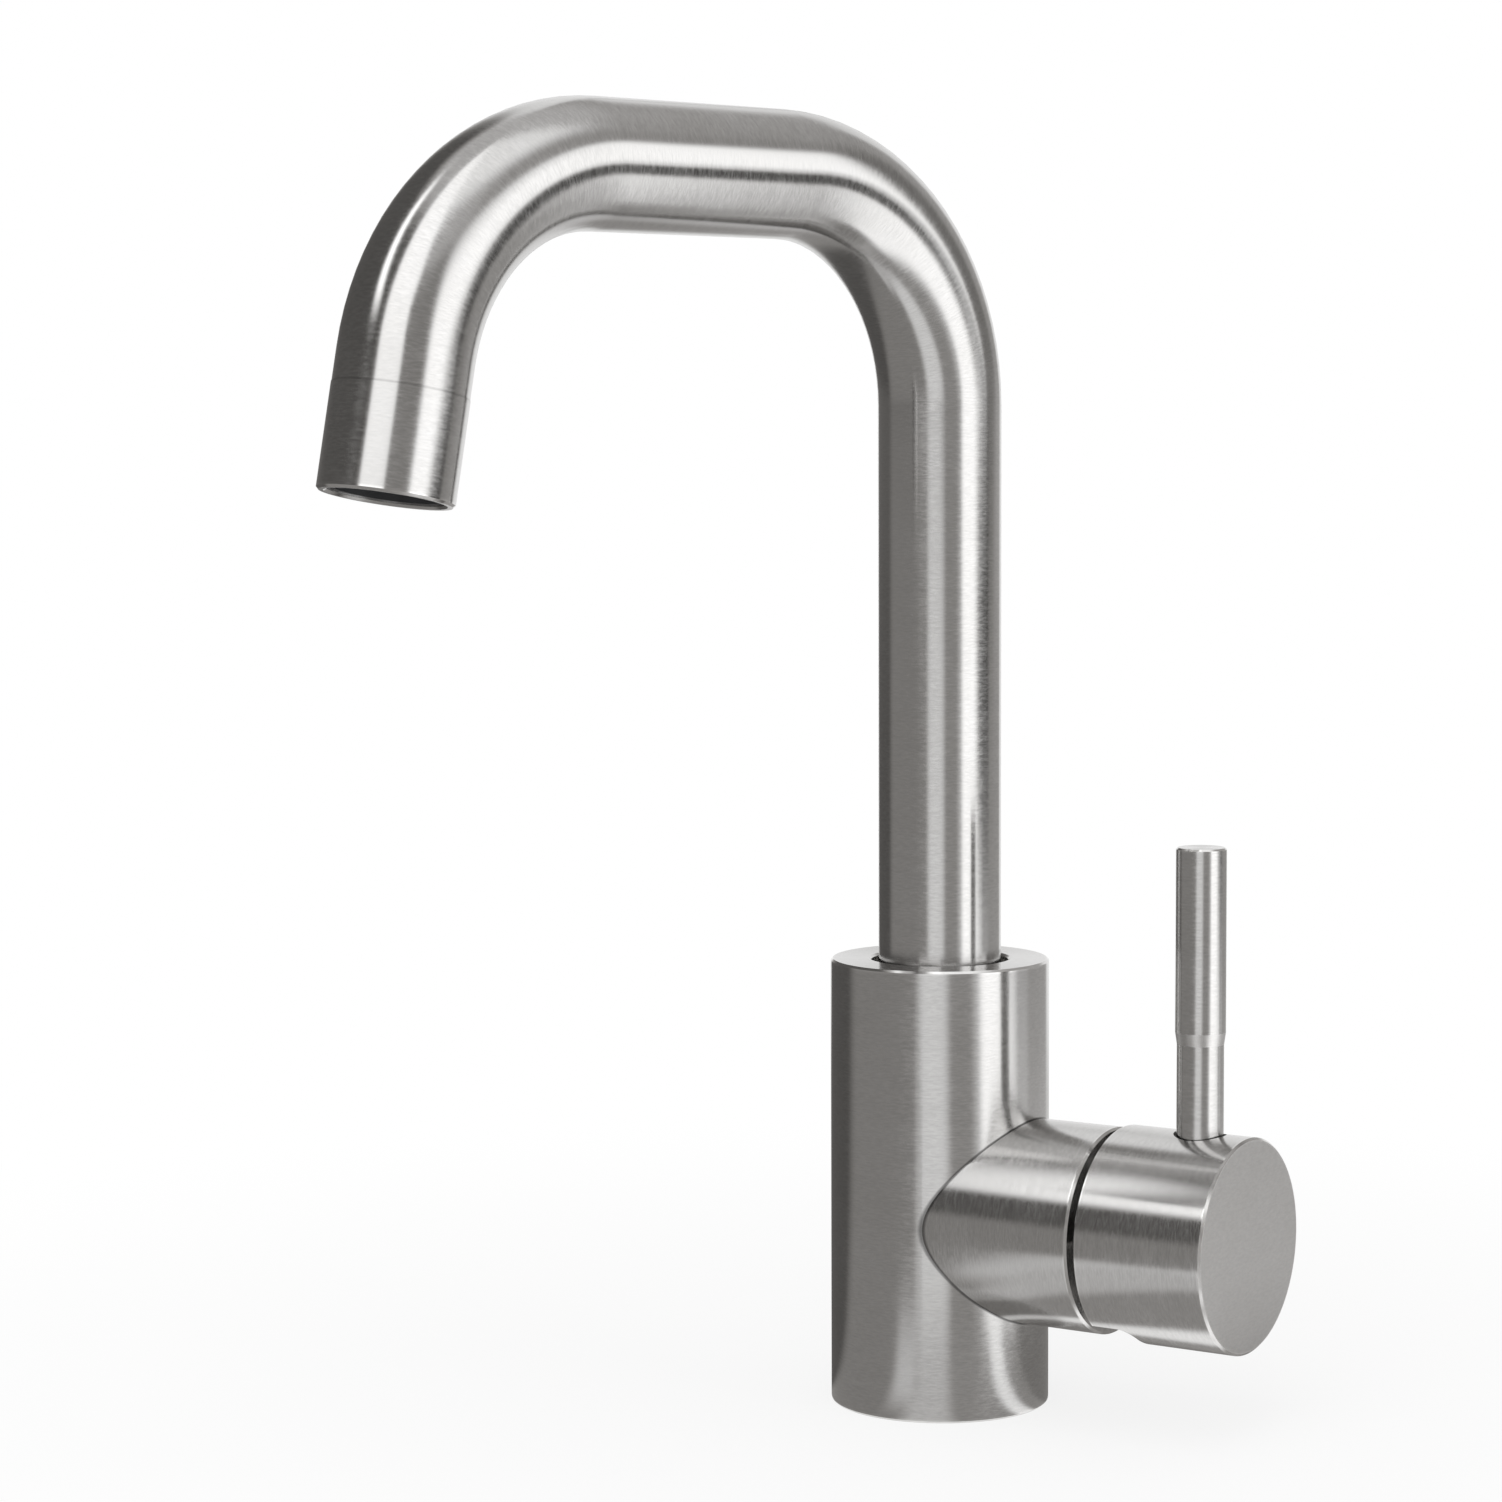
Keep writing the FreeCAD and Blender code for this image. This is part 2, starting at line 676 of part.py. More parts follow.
def spout_nipple():
    """Turned brass end of the tube: two seal grooves, the screw's groove, flange and spigot."""
    screw_radius = nipple_radius - screw_groove_depth
    spigot = tube_radius - tube_wall - seat_gap
    outline = [(nipple_bore / 2, nipple_foot), (nipple_radius, nipple_foot)]
    for low, width, depth_radius in ((lower_groove, groove_width, groove_radius),
                                     (screw_groove, screw_groove_width, screw_radius),
                                     (upper_groove, groove_width, groove_radius)):
        outline += [(nipple_radius, low), (depth_radius, low),
                    (depth_radius, low + width), (nipple_radius, low + width)]
    outline += [(nipple_radius, flange_foot), (tube_radius, flange_foot), (tube_radius, tube_foot),
                (spigot, tube_foot), (spigot, tube_foot + nipple_spigot_length),
                (nipple_bore / 2, tube_foot + nipple_spigot_length)]
    return turned(outline)


def nipple_o_ring(groove):
    """Rubber ring in the middle of one groove, its round section drawn with eight sides."""
    reach = o_ring_section / 2
    level = groove + groove_width / 2
    outline = []
    for corner in range(O_RING_SIDES):
        angle = 2 * math.pi * (corner + 1 / 2) / O_RING_SIDES
        outline.append((o_ring_centre + reach * math.cos(angle), level + reach * math.sin(angle)))
    return turned(outline)


def lower_o_ring():
    return nipple_o_ring(lower_groove)


def upper_o_ring():
    return nipple_o_ring(upper_groove)


# ---- Spout -------------------------------------------------------------------

def spout_route():
    """Legs and bends of the tube, from the nipple's flange to the sleeve."""
    return [("leg", spout_height - bend_radius - tube_foot), ("bend", 90),
            ("leg", run_length), ("bend", outlet_turn), ("leg", outlet_leg)]


def spout_tube():
    """Thin steel tube bent twice in one plane."""
    outer, _, _ = pipe(tube_radius, UP * tube_foot, spout_route())
    bore, _, _ = pipe(tube_radius - tube_wall, UP * tube_foot, spout_route())
    return at_spout(outer.cut(bore))


def outlet_line():
    """Mouth of the outlet and the direction into the tube, with the spout towards +X."""
    _, end, heading = pipe(tube_radius, UP * tube_foot, spout_route())
    return end + heading * sleeve_length, heading * -1


def outlet_turned(outline):
    """Solid turned about the outlet's line; distances run from its mouth into the tube."""
    mouth, inwards = outlet_line()
    return at_spout(turned(outline, inwards, mouth))


def outlet_sleeve():
    """End ring with the aerator's thread and a spigot inside the tube."""
    outer = sleeve_diameter / 2
    spigot = tube_radius - tube_wall - seat_gap
    far = sleeve_length + sleeve_spigot_length
    thread_bore = aerator_radius + seat_gap
    return outlet_turned([
        (thread_bore + edge_bevel, 0), (outer - edge_bevel, 0), (outer, edge_bevel),
        (outer, sleeve_length), (spigot, sleeve_length), (spigot, far),
        (aerator_bore, far), (aerator_bore, gasket_end), (thread_bore, gasket_end),
        (thread_bore, edge_bevel)])


def aerator_housing():
    """Threaded cup with an inward lip that carries the screen."""
    return outlet_turned([
        (aerator_bore - aerator_ledge, aerator_recess), (aerator_radius, aerator_recess),
        (aerator_radius, aerator_end), (aerator_bore, aerator_end),
        (aerator_bore, screen_start), (aerator_bore - aerator_ledge, screen_start)])


def aerator_gasket():
    """Flat rubber ring between the aerator and the sleeve's ledge."""
    return outlet_turned([
        (aerator_radius - gasket_width, aerator_end), (aerator_radius, aerator_end),
        (aerator_radius, gasket_end), (aerator_radius - gasket_width, gasket_end)])


def holed_plate(low, high):
    """Round plate across the outlet with six-sided holes in rows."""
    mouth, inwards = outlet_line()
    plate = rod(insert_radius, low, high, inwards, mouth)
    side = across(inwards)
    pitch = screen_hole_size * HEX_FLATS + screen_web
    row_pitch = pitch * HEX_FLATS
    reach = insert_radius - screen_hole_size / 2 - screen_web
    rows = int(reach / row_pitch)
    holes = []
    for row in range(-rows, rows + 1):
        columns = int(reach / pitch) + 1
        for column in range(-columns, columns + 1):
            along_row = (column + (row % 2) / 2) * pitch
            if math.hypot(along_row, row * row_pitch) < reach:
                centre = mouth + side * (row * row_pitch) + ACROSS * along_row
                holes.append(hexagon(screen_hole_size, low, high, inwards, centre))
    return at_spout(plate.cut(holes))


def aerator_screen():
    """Plate with a honeycomb of holes that shows in the outlet."""
    return holed_plate(screen_start, insert_start)


def aerator_insert():
    """Mixing cup behind the screen: an open skirt and a plate with a ring of jets."""
    plate_start = (insert_start + insert_end) / 2
    plate_end = plate_start + insert_plate
    skirt_bore = insert_radius - aerator_wall
    cup = outlet_turned([
        (skirt_bore, insert_start), (insert_radius, insert_start), (insert_radius, insert_end),
        (skirt_bore, insert_end), (skirt_bore, plate_end), (0, plate_end), (0, plate_start),
        (skirt_bore, plate_start)])
    mouth, inwards = outlet_line()
    side = across(inwards)
    jets = []
    for turn in range(jet_count):
        angle = 2 * math.pi * turn / jet_count
        arm = side * math.cos(angle) + ACROSS * math.sin(angle)
        centre = mouth + arm * (skirt_bore - jet_diameter)
        jets.append(at_spout(rod(jet_diameter / 2, plate_start, plate_end, inwards, centre)))
    return cup.cut(jets)


def aerator_strainer():
    """Inlet plate on top of the insert that keeps grit out of the jets."""
    return holed_plate(insert_end, insert_end + screen_thickness)


# ---- One file for each piece -------------------------------------------------

PIECES = [
    body, base_seal_ring,
    cartridge_base, cartridge_base_seals, cartridge_disc_seals, fixed_ceramic_disc,
    cartridge_housing, cartridge_nut, bonnet_ring,
    moving_ceramic_disc, disc_driver, lever_carrier, pivot_pin, cartridge_stem,
    handle_cap, lever_rod, handle_grub_screw,
    spout_thrust_ring, spout_glide_bush, spout_retaining_screw,
    spout_nipple, lower_o_ring, upper_o_ring, spout_tube,
    outlet_sleeve, aerator_housing, aerator_gasket,
    aerator_screen, aerator_insert, aerator_strainer,
]

os.makedirs("parts", exist_ok=True)
for make in PIECES:
    shape = make()
    shape.exportStep("parts/" + make.__name__ + ".step")
    print(f"{make.__name__}: {len(shape.Solids)} solid, {shape.Volume / 1000:.2f} cm3, "
          f"valid {shape.isValid()}")
print(f"column {body_height:.2f} high, branch reaches {branch_reach:.2f}, "
      f"cap ends at {cap_front:.2f}, lever at {lever_place:.2f}, top {axis_height + lever_top:.2f}")
print(f"pivot at {pivot_place:.3f}, ball arm {ball_arm:.3f}, disc travel {disc_travel:.3f}")
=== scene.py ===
# %% [markdown]
# # A gooseneck bar faucet in brushed stainless steel
#
# The faucet is a round column with a branch on its side. A bent tube swivels in
# the top of the column, and a cap with an upright lever turns and tilts on the
# branch. Every solid is already made and packed as a fixed frame, in metres,
# with the foot's centre at the origin, +Z up and +X out along the handle.
#
# This lesson dresses that frame: a camera, a small studio, one recipe for
# brushed steel that follows each piece's own turning line, and the brass,
# ceramic, rubber and plastic of the pieces inside.

# %% Load the frame
import bpy
import math
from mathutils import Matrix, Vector


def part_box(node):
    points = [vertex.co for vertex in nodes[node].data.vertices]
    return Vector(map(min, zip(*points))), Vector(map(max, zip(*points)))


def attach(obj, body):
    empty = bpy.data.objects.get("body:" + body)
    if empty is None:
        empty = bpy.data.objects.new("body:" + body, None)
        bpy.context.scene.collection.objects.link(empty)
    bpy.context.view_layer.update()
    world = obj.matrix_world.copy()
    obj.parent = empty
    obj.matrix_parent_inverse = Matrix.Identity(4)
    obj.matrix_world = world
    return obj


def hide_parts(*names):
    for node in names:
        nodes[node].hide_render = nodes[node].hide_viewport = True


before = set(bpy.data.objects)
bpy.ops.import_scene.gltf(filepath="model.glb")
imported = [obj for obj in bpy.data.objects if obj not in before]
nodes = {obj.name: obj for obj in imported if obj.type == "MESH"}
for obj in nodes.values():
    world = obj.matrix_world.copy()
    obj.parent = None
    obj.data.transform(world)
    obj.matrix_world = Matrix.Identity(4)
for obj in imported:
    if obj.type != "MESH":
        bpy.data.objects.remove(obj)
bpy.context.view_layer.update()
scene = bpy.context.scene

# %% [markdown]
# ## Where the pieces turn
#
# Brushing follows the lathe or the polishing belt, so each steel piece needs the
# line it was turned about. Those lines are read from the frame instead of being
# typed in again: the handle's axis goes through the middle of the cap's box and
# the lever's through the middle of its own. The spout's run points from the
# column to the outlet, and the outlet's line joins the middles of two round
# pieces inside it.

# %% Axes read from the frame
def middle(node):
    """Centre of a piece's box at rest."""
    low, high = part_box(node)
    return (low + high) / 2


UP = Vector((0, 0, 1))
OUT = Vector((1, 0, 0))
ACROSS = Vector((0, 1, 0))
CENTRE = Vector((0, 0, 0))
TO_MOUTH = 0.00715              # from the aerator housing's middle to the sleeve's mouth
handle_middle = middle("handle_cap")
lever_middle = middle("lever_rod")
run_line = (middle("outlet_sleeve") * (OUT + ACROSS)).normalized()
outlet_line = (middle("aerator_housing") - middle("aerator_gasket")).normalized()
mouth = middle("aerator_housing") + outlet_line * TO_MOUTH
branch_point = handle_middle * UP
print("run points", [round(v, 3) for v in run_line],
      "outlet points", [round(v, 3) for v in outlet_line])

# %% [markdown]
# ## Sizes
#
# Worn edges, threads and joint lines are painted on by place, so the finishes
# need the sizes of what they cover. These come from the frame too. Only two small
# steps and the tube's two bends can't be read from a box, so they are given.

# %% Sizes read from the frame
SEAL_INSET = 0.00205            # how far inside the column's side the ring in its foot stays
column_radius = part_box("base_seal_ring")[1].x + SEAL_INSET
column_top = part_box("body")[1].z
branch_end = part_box("body")[1].x
cap_low, cap_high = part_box("handle_cap")
CAP_STEP = 0.00075              # how much the cap stands out past the branch, all round
cap_radius = (cap_high.z - cap_low.z) / 2
branch_radius = cap_radius - CAP_STEP
lever_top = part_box("lever_rod")[1].z
grip_radius = (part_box("lever_rod")[1].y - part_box("lever_rod")[0].y) / 2
tube_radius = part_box("spout_tube")[1].y
run_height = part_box("spout_tube")[1].z - tube_radius
BEND = 0.050                    # radius of both bends, to the tube's centre line
RUN_END = 0.104                 # where the second bend starts, out from the column's axis
bend_height = run_height - BEND
print("column", round(column_radius, 4), "branch", round(branch_radius, 4),
      "run's height", round(run_height, 4))

# %% [markdown]
# ## The camera
#
# The photograph looks down a little on the faucet from about a metre away, with
# the handle turned some 30 degrees towards the lens. A camera is a place, a
# heading and a lens. All three were found by matching the column's foot and
# rim, the bends, the outlet and the cap with the photograph.

# %% Camera
camera_data = bpy.data.cameras.new("camera")
camera = bpy.data.objects.new("camera", camera_data)
scene.collection.objects.link(camera)
camera_data.sensor_width = 36.0
camera_data.lens = 95.41
camera_heading = math.radians(123.479)
camera_pitch = math.radians(-4.6444)
camera_roll = math.radians(0.2229)
camera.location = (0.46393, -0.77907, 0.22368)
camera.rotation_euler = (math.pi / 2 + camera_pitch, camera_roll, camera_heading - math.pi / 2)
camera_data.clip_start = 0.05
scene.camera = camera
print("camera stands", round(Vector(camera.location).length, 3), "m from the foot")

# %% [markdown]
# ## Nodes by name
#
# A material is a small graph. A few helpers keep the graphs short to read: they
# start an empty material, add a node and link or set its inputs, do arithmetic
# on numbers and on vectors, mix, and make noise and relief.

# %% Helpers for materials
def add(tree, kind, inputs=None, **settings):
    """Adds a node. An input that is another node's output is linked, any other is set."""
    node = tree.nodes.new("ShaderNode" + kind)
    for name, value in settings.items():
        setattr(node, name, value)
    for key, value in (inputs or {}).items():
        if isinstance(value, bpy.types.NodeSocket):
            tree.links.new(value, node.inputs[key])
        else:
            node.inputs[key].default_value = value
    return node


def blank(name):
    """A material with an empty node tree, and its tree."""
    material = bpy.data.materials.new(name)
    material.use_nodes = True
    material.node_tree.nodes.clear()
    return material, material.node_tree


def close(tree, shader):
    """Links a shader to the material's output."""
    output = tree.nodes.new("ShaderNodeOutputMaterial")
    tree.links.new(shader, output.inputs["Surface"])


def numbers(tree, operation, *values):
    """One step of arithmetic on numbers."""
    return add(tree, "Math", dict(enumerate(values)), operation=operation).outputs[0]


def arrows(tree, operation, *values):
    """One step of arithmetic on vectors."""
    node = add(tree, "VectorMath", dict(enumerate(values)), operation=operation)
    return node.outputs["Value"] if operation in ("DOT_PRODUCT", "LENGTH") else node.outputs["Vector"]


def scaled(tree, vector, factor):
    """A vector times a number."""
    return add(tree, "VectorMath", {0: vector, 3: factor}, operation="SCALE").outputs["Vector"]


def ramp(tree, value, start, end, low=0.0, high=1.0):
    """Eases from low to high while the value goes from start to end."""
    return add(tree, "MapRange", {"Value": value, "From Min": start, "From Max": end,
                                  "To Min": low, "To Max": high},
               interpolation_type="SMOOTHSTEP").outputs[0]


def between_colours(tree, share, one, two):
    """The first colour at share 0, the second at share 1."""
    return add(tree, "Mix", {0: share, 6: one, 7: two}, data_type="RGBA").outputs[2]


def between_vectors(tree, share, one, two):
    """The first vector at share 0, the second at share 1."""
    return add(tree, "Mix", {0: share, 4: one, 5: two}, data_type="VECTOR").outputs[1]


def noise(tree, place, scale, detail, **more):
    """Noise with so many cells to the metre."""
    return add(tree, "TexNoise", {"Vector": place, "Scale": scale, "Detail": detail, **more}).outputs["Fac"]


def raised(tree, height, way_out=None):
    """The way out of a surface with a relief on it, whose height is in metres."""
    bump = add(tree, "Bump", {"Strength": 1.0, "Distance": 1.0, "Height": height})
    if way_out is not None:
        tree.links.new(way_out, bump.inputs["Normal"])
    return bump.outputs[0]


# %% [markdown]
# ## White paper
#
# The faucet stands on plain white paper in front of a white background. Near the
# foot a fifth of what the paper shows is the lamps' light, which keeps the soft
# shadow. Farther off more and more of it is its own white, so no horizon shows.

# %% White paper: floor and background
def seen_straight(tree):
    """1 for rays from the camera, off shiny surfaces and through clear ones, 0 for plain lighting."""
    path = add(tree, "LightPath").outputs
    straight = numbers(tree, "MAXIMUM", path["Is Camera Ray"], path["Is Glossy Ray"])
    return numbers(tree, "MAXIMUM", straight, path["Is Transmission Ray"])


WORLD_LIGHT = 0.62
PAPER_LIT = 0.05                # metres from the foot where the lamps' share starts to fall
PAPER_WHITE = 0.40              # and where none of it is left
world = bpy.data.worlds.new("studio_air")
scene.world = world
world.use_nodes = True
air = world.node_tree
air.nodes.clear()
strength = add(air, "MapRange", {"Value": seen_straight(air), "To Min": WORLD_LIGHT, "To Max": 1.0})
glow = add(air, "Background", {"Color": (1, 1, 1, 1), "Strength": strength.outputs[0]})
world_output = air.nodes.new("ShaderNodeOutputWorld")
air.links.new(glow.outputs[0], world_output.inputs["Surface"])


def paper():
    """White studio paper that turns from lit paper at the foot to plain white far off."""
    material, tree = blank("studio_paper")
    place = add(tree, "TexCoord").outputs["Object"]
    fibre = noise(tree, place, 900.0, 2.0)
    shade = ramp(tree, fibre, 0.2, 0.8, 0.90, 0.93)
    tone = add(tree, "CombineColor", {0: shade, 1: shade, 2: shade}).outputs[0]
    matt = add(tree, "BsdfDiffuse", {"Color": tone})
    white = add(tree, "Emission", {"Color": (1, 1, 1, 1), "Strength": 1.0})
    far = ramp(tree, arrows(tree, "LENGTH", place), PAPER_LIT, PAPER_WHITE, 0.80, 1.0)
    share = numbers(tree, "MULTIPLY", seen_straight(tree), far)
    mixed = add(tree, "MixShader", {0: share, 1: matt.outputs[0], 2: white.outputs[0]})
    close(tree, mixed.outputs[0])
    return material


bpy.ops.mesh.primitive_plane_add(size=16, location=(0, 0, 0))
floor = bpy.context.object
floor.name = "floor"
floor.data.materials.append(paper())
print("floor", tuple(round(v, 2) for v in floor.dimensions))

# %% [markdown]
# ## Lamps
#
# Two soft boxes light the paper and everything matt: a large one in front and a
# lower one on the right. They stand where the bright cloths of the tent below
# are, which is what the steel shows, so the steel doesn't see them twice.

# %% Soft boxes
lens_azimuth = math.atan2(camera.location.y, camera.location.x)
EYE = Vector((0, 0, 0.15))


def around(turn, rise, reach):
    """A point round the faucet: degrees to the right of the lens, degrees up, metres away."""
    azimuth = lens_azimuth + math.radians(turn)
    level = math.radians(rise)
    return EYE + reach * Vector((math.cos(azimuth) * math.cos(level),
                                 math.sin(azimuth) * math.cos(level), math.sin(level)))


def soft_box(name, turn, rise, reach, width, height, power):
    """An area lamp that faces the faucet."""
    lamp = bpy.data.lights.new(name, "AREA")
    lamp.shape = "RECTANGLE"
    lamp.size = width
    lamp.size_y = height
    lamp.energy = power
    box = bpy.data.objects.new(name, lamp)
    scene.collection.objects.link(box)
    box.location = around(turn, rise, reach)
    aim = EYE - box.location
    box.rotation_euler = aim.to_track_quat("-Z", "Y").to_euler()
    box.visible_camera = False
    box.visible_glossy = False
    return box


soft_box("key_box", turn=-16, rise=46, reach=1.6, width=1.1, height=2.1, power=12.0)
soft_box("side_box", turn=64, rise=14, reach=1.6, width=1.0, height=1.0, power=4.5)
print("two soft boxes")

# %% [markdown]
# ## A light tent for the steel
#
# Steel shows its surroundings more than its own colour, so the surroundings are
# part of the finish. Bright cloths make the wide highlights, dark flags between
# them make the dark bands, and a grey card on the floor keeps the undersides
# calm. All of them hang in one tent round the faucet. Each row of the table is
# one cloth: where it starts and ends, in degrees to the right of the lens and
# degrees up, how soft its edge is (a pair where sides and ends differ), how
# bright it is, and how far it leans. A later row hangs in front of an earlier
# one. Behind the faucet, and on the floor to the right, the tent is open, and
# the steel shows the white paper itself.

# %% Cloths of the tent
CLOTHS = (
    # left, right, foot, top, soft edge, brightness, lean
    (-200, 200, -100, 10, 3, 0.36, 0.0),      # grey card on the floor
    (-200, 200, 56, 100, 9, 0.62, 0.0),       # roof
    (-40, 95, 52, 100, 10, 1.20, 0.0),        # roof's bright front
    (-158, -41, 3, 60, 7, 0.115, 0.0),        # left flag
    (20, 170, -46, 3, 8, 0.64, 0.0),          # pale apron on the right
    (-104, -25, -100, 2, 6, 0.30, 0.0),       # grey cloth below the left flag
    (-39, -20, -76, -50, 5, 0.74, 0.0),       # pale card under the branch
    (-165, -104, -100, 3, 8, 0.115, 0.0),     # dark cloth farther left
    (-21, 7, -100, 4, 6, 0.64, 0.0),          # pale fold under the lens
    (-21, 7, -50, 4, 6, 0.92, 0.0),           # its lit upper part
    (13, 34, -100, 4, 4, 0.36, 0.0),          # dark fold beside it
    (3, 46, 10, 44, 5, 0.62, 0.0),            # grey cloth between the boxes
    (0, 37, 4, 34, 4, 0.30, 0.0),             # dark flag between the boxes
    (-39, 1, 11, 100, 3, 1.58, 0.0),          # large box in front
    (-20, 6, 30, 100, 4, 1.58, 0.0),          # its upper corner
    (41, 86, -50, 31, 4, 1.30, 0.0),          # box on the right
    (44, 80, -50, 23, 4, 1.64, 0.0),          # its bright middle
    (46, 60, -100, -50, 4, 1.15, 0.0),        # its light on the floor
    (84, 98, 6, 30, 4, 1.80, 0.0),            # its upright edge
    (101, 128, 2, 36, 7, 0.22, 0.0),          # flag on the right
    (73, 118, -8, 2, (9, 2), 0.05, 0.0),      # narrow flag at the end of the box
    (78, 150, -100, -46, 5, 0.24, 0.0),       # dark card on the floor
    (104, 150, -46, 0, 5, 0.38, 0.0),         # grey cloth above it
    (-88, -58, 30, 66, 4, 2.20, -0.8),        # leaning box on the left
    (-180, -163, -14, 60, 4, 1.0, 0.0),       # pale cloth behind
)
OPENINGS = (
    # the same, with how open it is in the place of the brightness
    (150, 182, -16, 40, 5, 0.9, 0.0),         # back
    (60, 160, -42, -16, 12, 0.35, 0.0),       # floor on the right
)
BARE_CLOTH = 0.42               # brightness where the table hangs no cloth
LEANING_HALF = 7                # half the width of a leaning cloth, in degrees
TENT_RADIUS = 2.2
TENT_OUTLINE = ((0.0253, 0.0003), (0.04, 0.0012), (0.6, 0.0012), (2.0, 0.0012), (TENT_RADIUS, 0.15),
                (TENT_RADIUS, 2.0), (1.7, 2.8), (0.9, 3.1), (0.001, 3.2))


def cloth_mask(tree, turn, rise, left, right, foot, top, soft, lean):
    """1 on one cloth of the table and 0 off it, with soft edges."""
    soft_sides, soft_ends = soft if isinstance(soft, tuple) else (soft, soft)
    if lean:
        shift = numbers(tree, "MULTIPLY", numbers(tree, "SUBTRACT", rise, (foot + top) / 2), lean)
        turn = numbers(tree, "SUBTRACT", turn, shift)
        centre = (left + right) / 2
        left, right = centre - LEANING_HALF, centre + LEANING_HALF
    sides = numbers(tree, "MULTIPLY", ramp(tree, turn, left - soft_sides, left + soft_sides),
                    ramp(tree, turn, right + soft_sides, right - soft_sides))
    ends = numbers(tree, "MULTIPLY", ramp(tree, rise, foot - soft_ends, foot + soft_ends),
                   ramp(tree, rise, top + soft_ends, top - soft_ends))
    return numbers(tree, "MULTIPLY", sides, ends)


def tent_cloth():
    """The tent's cloth: glows as the table says, and lets light through its openings."""
    material, tree = blank("tent_cloth")
    place = arrows(tree, "SUBTRACT", add(tree, "TexCoord").outputs["Object"], tuple(EYE))
    ahead = arrows(tree, "DOT_PRODUCT", place, tuple(around(0, 0, 1) - EYE))
    aside = arrows(tree, "DOT_PRODUCT", place, tuple(around(90, 0, 1) - EYE))
    above = arrows(tree, "DOT_PRODUCT", place, tuple(UP))
    high = numbers(tree, "DIVIDE", above, arrows(tree, "LENGTH", place))
    turn = numbers(tree, "DEGREES", numbers(tree, "ARCTAN2", aside, ahead))
    rise = numbers(tree, "DEGREES", numbers(tree, "ARCSINE", high))
    level = BARE_CLOTH
    for *extent, brightness, lean in CLOTHS:
        mask = cloth_mask(tree, turn, rise, *extent, lean)
        level = add(tree, "Mix", {0: mask, 2: level, 3: brightness}).outputs[0]
    warm = between_colours(tree, ramp(tree, level, 0.1, 0.9), (1.0, 0.965, 0.93, 1), (1, 1, 1, 1))
    glow = add(tree, "Emission", {"Color": warm, "Strength": level})
    bare = 0.0
    for *extent, share, lean in OPENINGS:
        mask = numbers(tree, "MULTIPLY", cloth_mask(tree, turn, rise, *extent, lean), share)
        bare = numbers(tree, "MAXIMUM", bare, mask)
    clear = add(tree, "BsdfTransparent")
    close(tree, add(tree, "MixShader", {0: bare, 1: glow.outputs[0], 2: clear.outputs[0]}).outputs[0])
    return material


def turned_mesh(name, outline, line=UP, foot=CENTRE, closed=False, steps=96):
    """A mesh turned about a line from (radius, distance) points of its section."""
    side = line.orthogonal().normalized()
    other = line.cross(side)
    points = []
    for step in range(steps):
        angle = 2 * math.pi * step / steps
        arm = side * math.cos(angle) + other * math.sin(angle)
        points += [foot + arm * radius + line * distance for radius, distance in outline]
    count = len(outline)
    panels = []
    for step in range(steps):
        here, there = step * count, (step + 1) % steps * count
        for i in range(count if closed else count - 1):
            after = (i + 1) % count
            panels.append((here + i, there + i, there + after, here + after))
    mesh = bpy.data.meshes.new(name)
    mesh.from_pydata(points, [], panels)
    mesh.polygons.foreach_set("use_smooth", [True] * len(panels))
    piece = bpy.data.objects.new(name, mesh)
    scene.collection.objects.link(piece)
    return piece


tent = turned_mesh("tent", TENT_OUTLINE)
tent.data.materials.append(tent_cloth())
tent.visible_camera = False
tent.visible_diffuse = False
tent.visible_shadow = False
print("tent of", len(CLOTHS), "cloths")

# %% [markdown]
# ## Brushed steel
#
# A polishing belt or a lathe tool leaves fine lines that run round each piece.
# Under a lamp such a surface spreads the light across the lines and hardly along
# them, so a bright streak runs down the piece. The shader does the same with its
# anisotropy, which needs a direction to spread in. Up close the lines are short
# dashes a third of a millimetre apart, so the noise for colour, roughness and
# bump is squeezed along the piece and stretched round it.
#
# Edges that hands and cloths pass over are a little smoother, and they are
# painted paler as a thin highlight. The recipe takes the rings where a piece has
# such an edge, and measures how near each point is to them.

# %% Places on a turned piece
FINE = 2600.0                   # noise cells per metre along the piece
SLOW = 520.0                    # and round it


def from_point(tree, point):
    """Place on the piece, counted from a point."""
    return arrows(tree, "SUBTRACT", add(tree, "TexCoord").outputs["Object"], tuple(point))


def height_and_radius(tree, point, line):
    """How far along a line a place is, and how far from it."""
    place = from_point(tree, point)
    height = arrows(tree, "DOT_PRODUCT", place, tuple(line))
    flat = arrows(tree, "SUBTRACT", place, scaled(tree, tuple(line), height))
    return height, arrows(tree, "LENGTH", flat)


def hypotenuse(tree, one, two):
    """How far off a place is, from how far off it is two ways."""
    squares = numbers(tree, "ADD", numbers(tree, "MULTIPLY", one, one), numbers(tree, "MULTIPLY", two, two))
    return numbers(tree, "SQRT", squares)


def near_ring(tree, point, line, radius, start, end):
    """1 on a ring round a line, falling to 0 between two distances from it."""
    height, reach = height_and_radius(tree, point, line)
    gap = numbers(tree, "SUBTRACT", reach, radius)
    return ramp(tree, hypotenuse(tree, gap, height), end, start)


def turned_grain(point, line):
    """Coordinates that run quickly along a line and slowly round it."""
    def build(tree):
        place = from_point(tree, point)
        along = arrows(tree, "DOT_PRODUCT", place, tuple(line))
        quick = scaled(tree, tuple(line), numbers(tree, "MULTIPLY", along, FINE - SLOW))
        return arrows(tree, "ADD", scaled(tree, place, SLOW), quick)
    return build


def across_turning(point, line):
    """Direction across the lines that turning about a line leaves, on sides and ends alike."""
    def build(tree):
        round_it = arrows(tree, "CROSS_PRODUCT", tuple(line), from_point(tree, point))
        return arrows(tree, "CROSS_PRODUCT", add(tree, "TexCoord").outputs["Normal"], round_it)
    return build


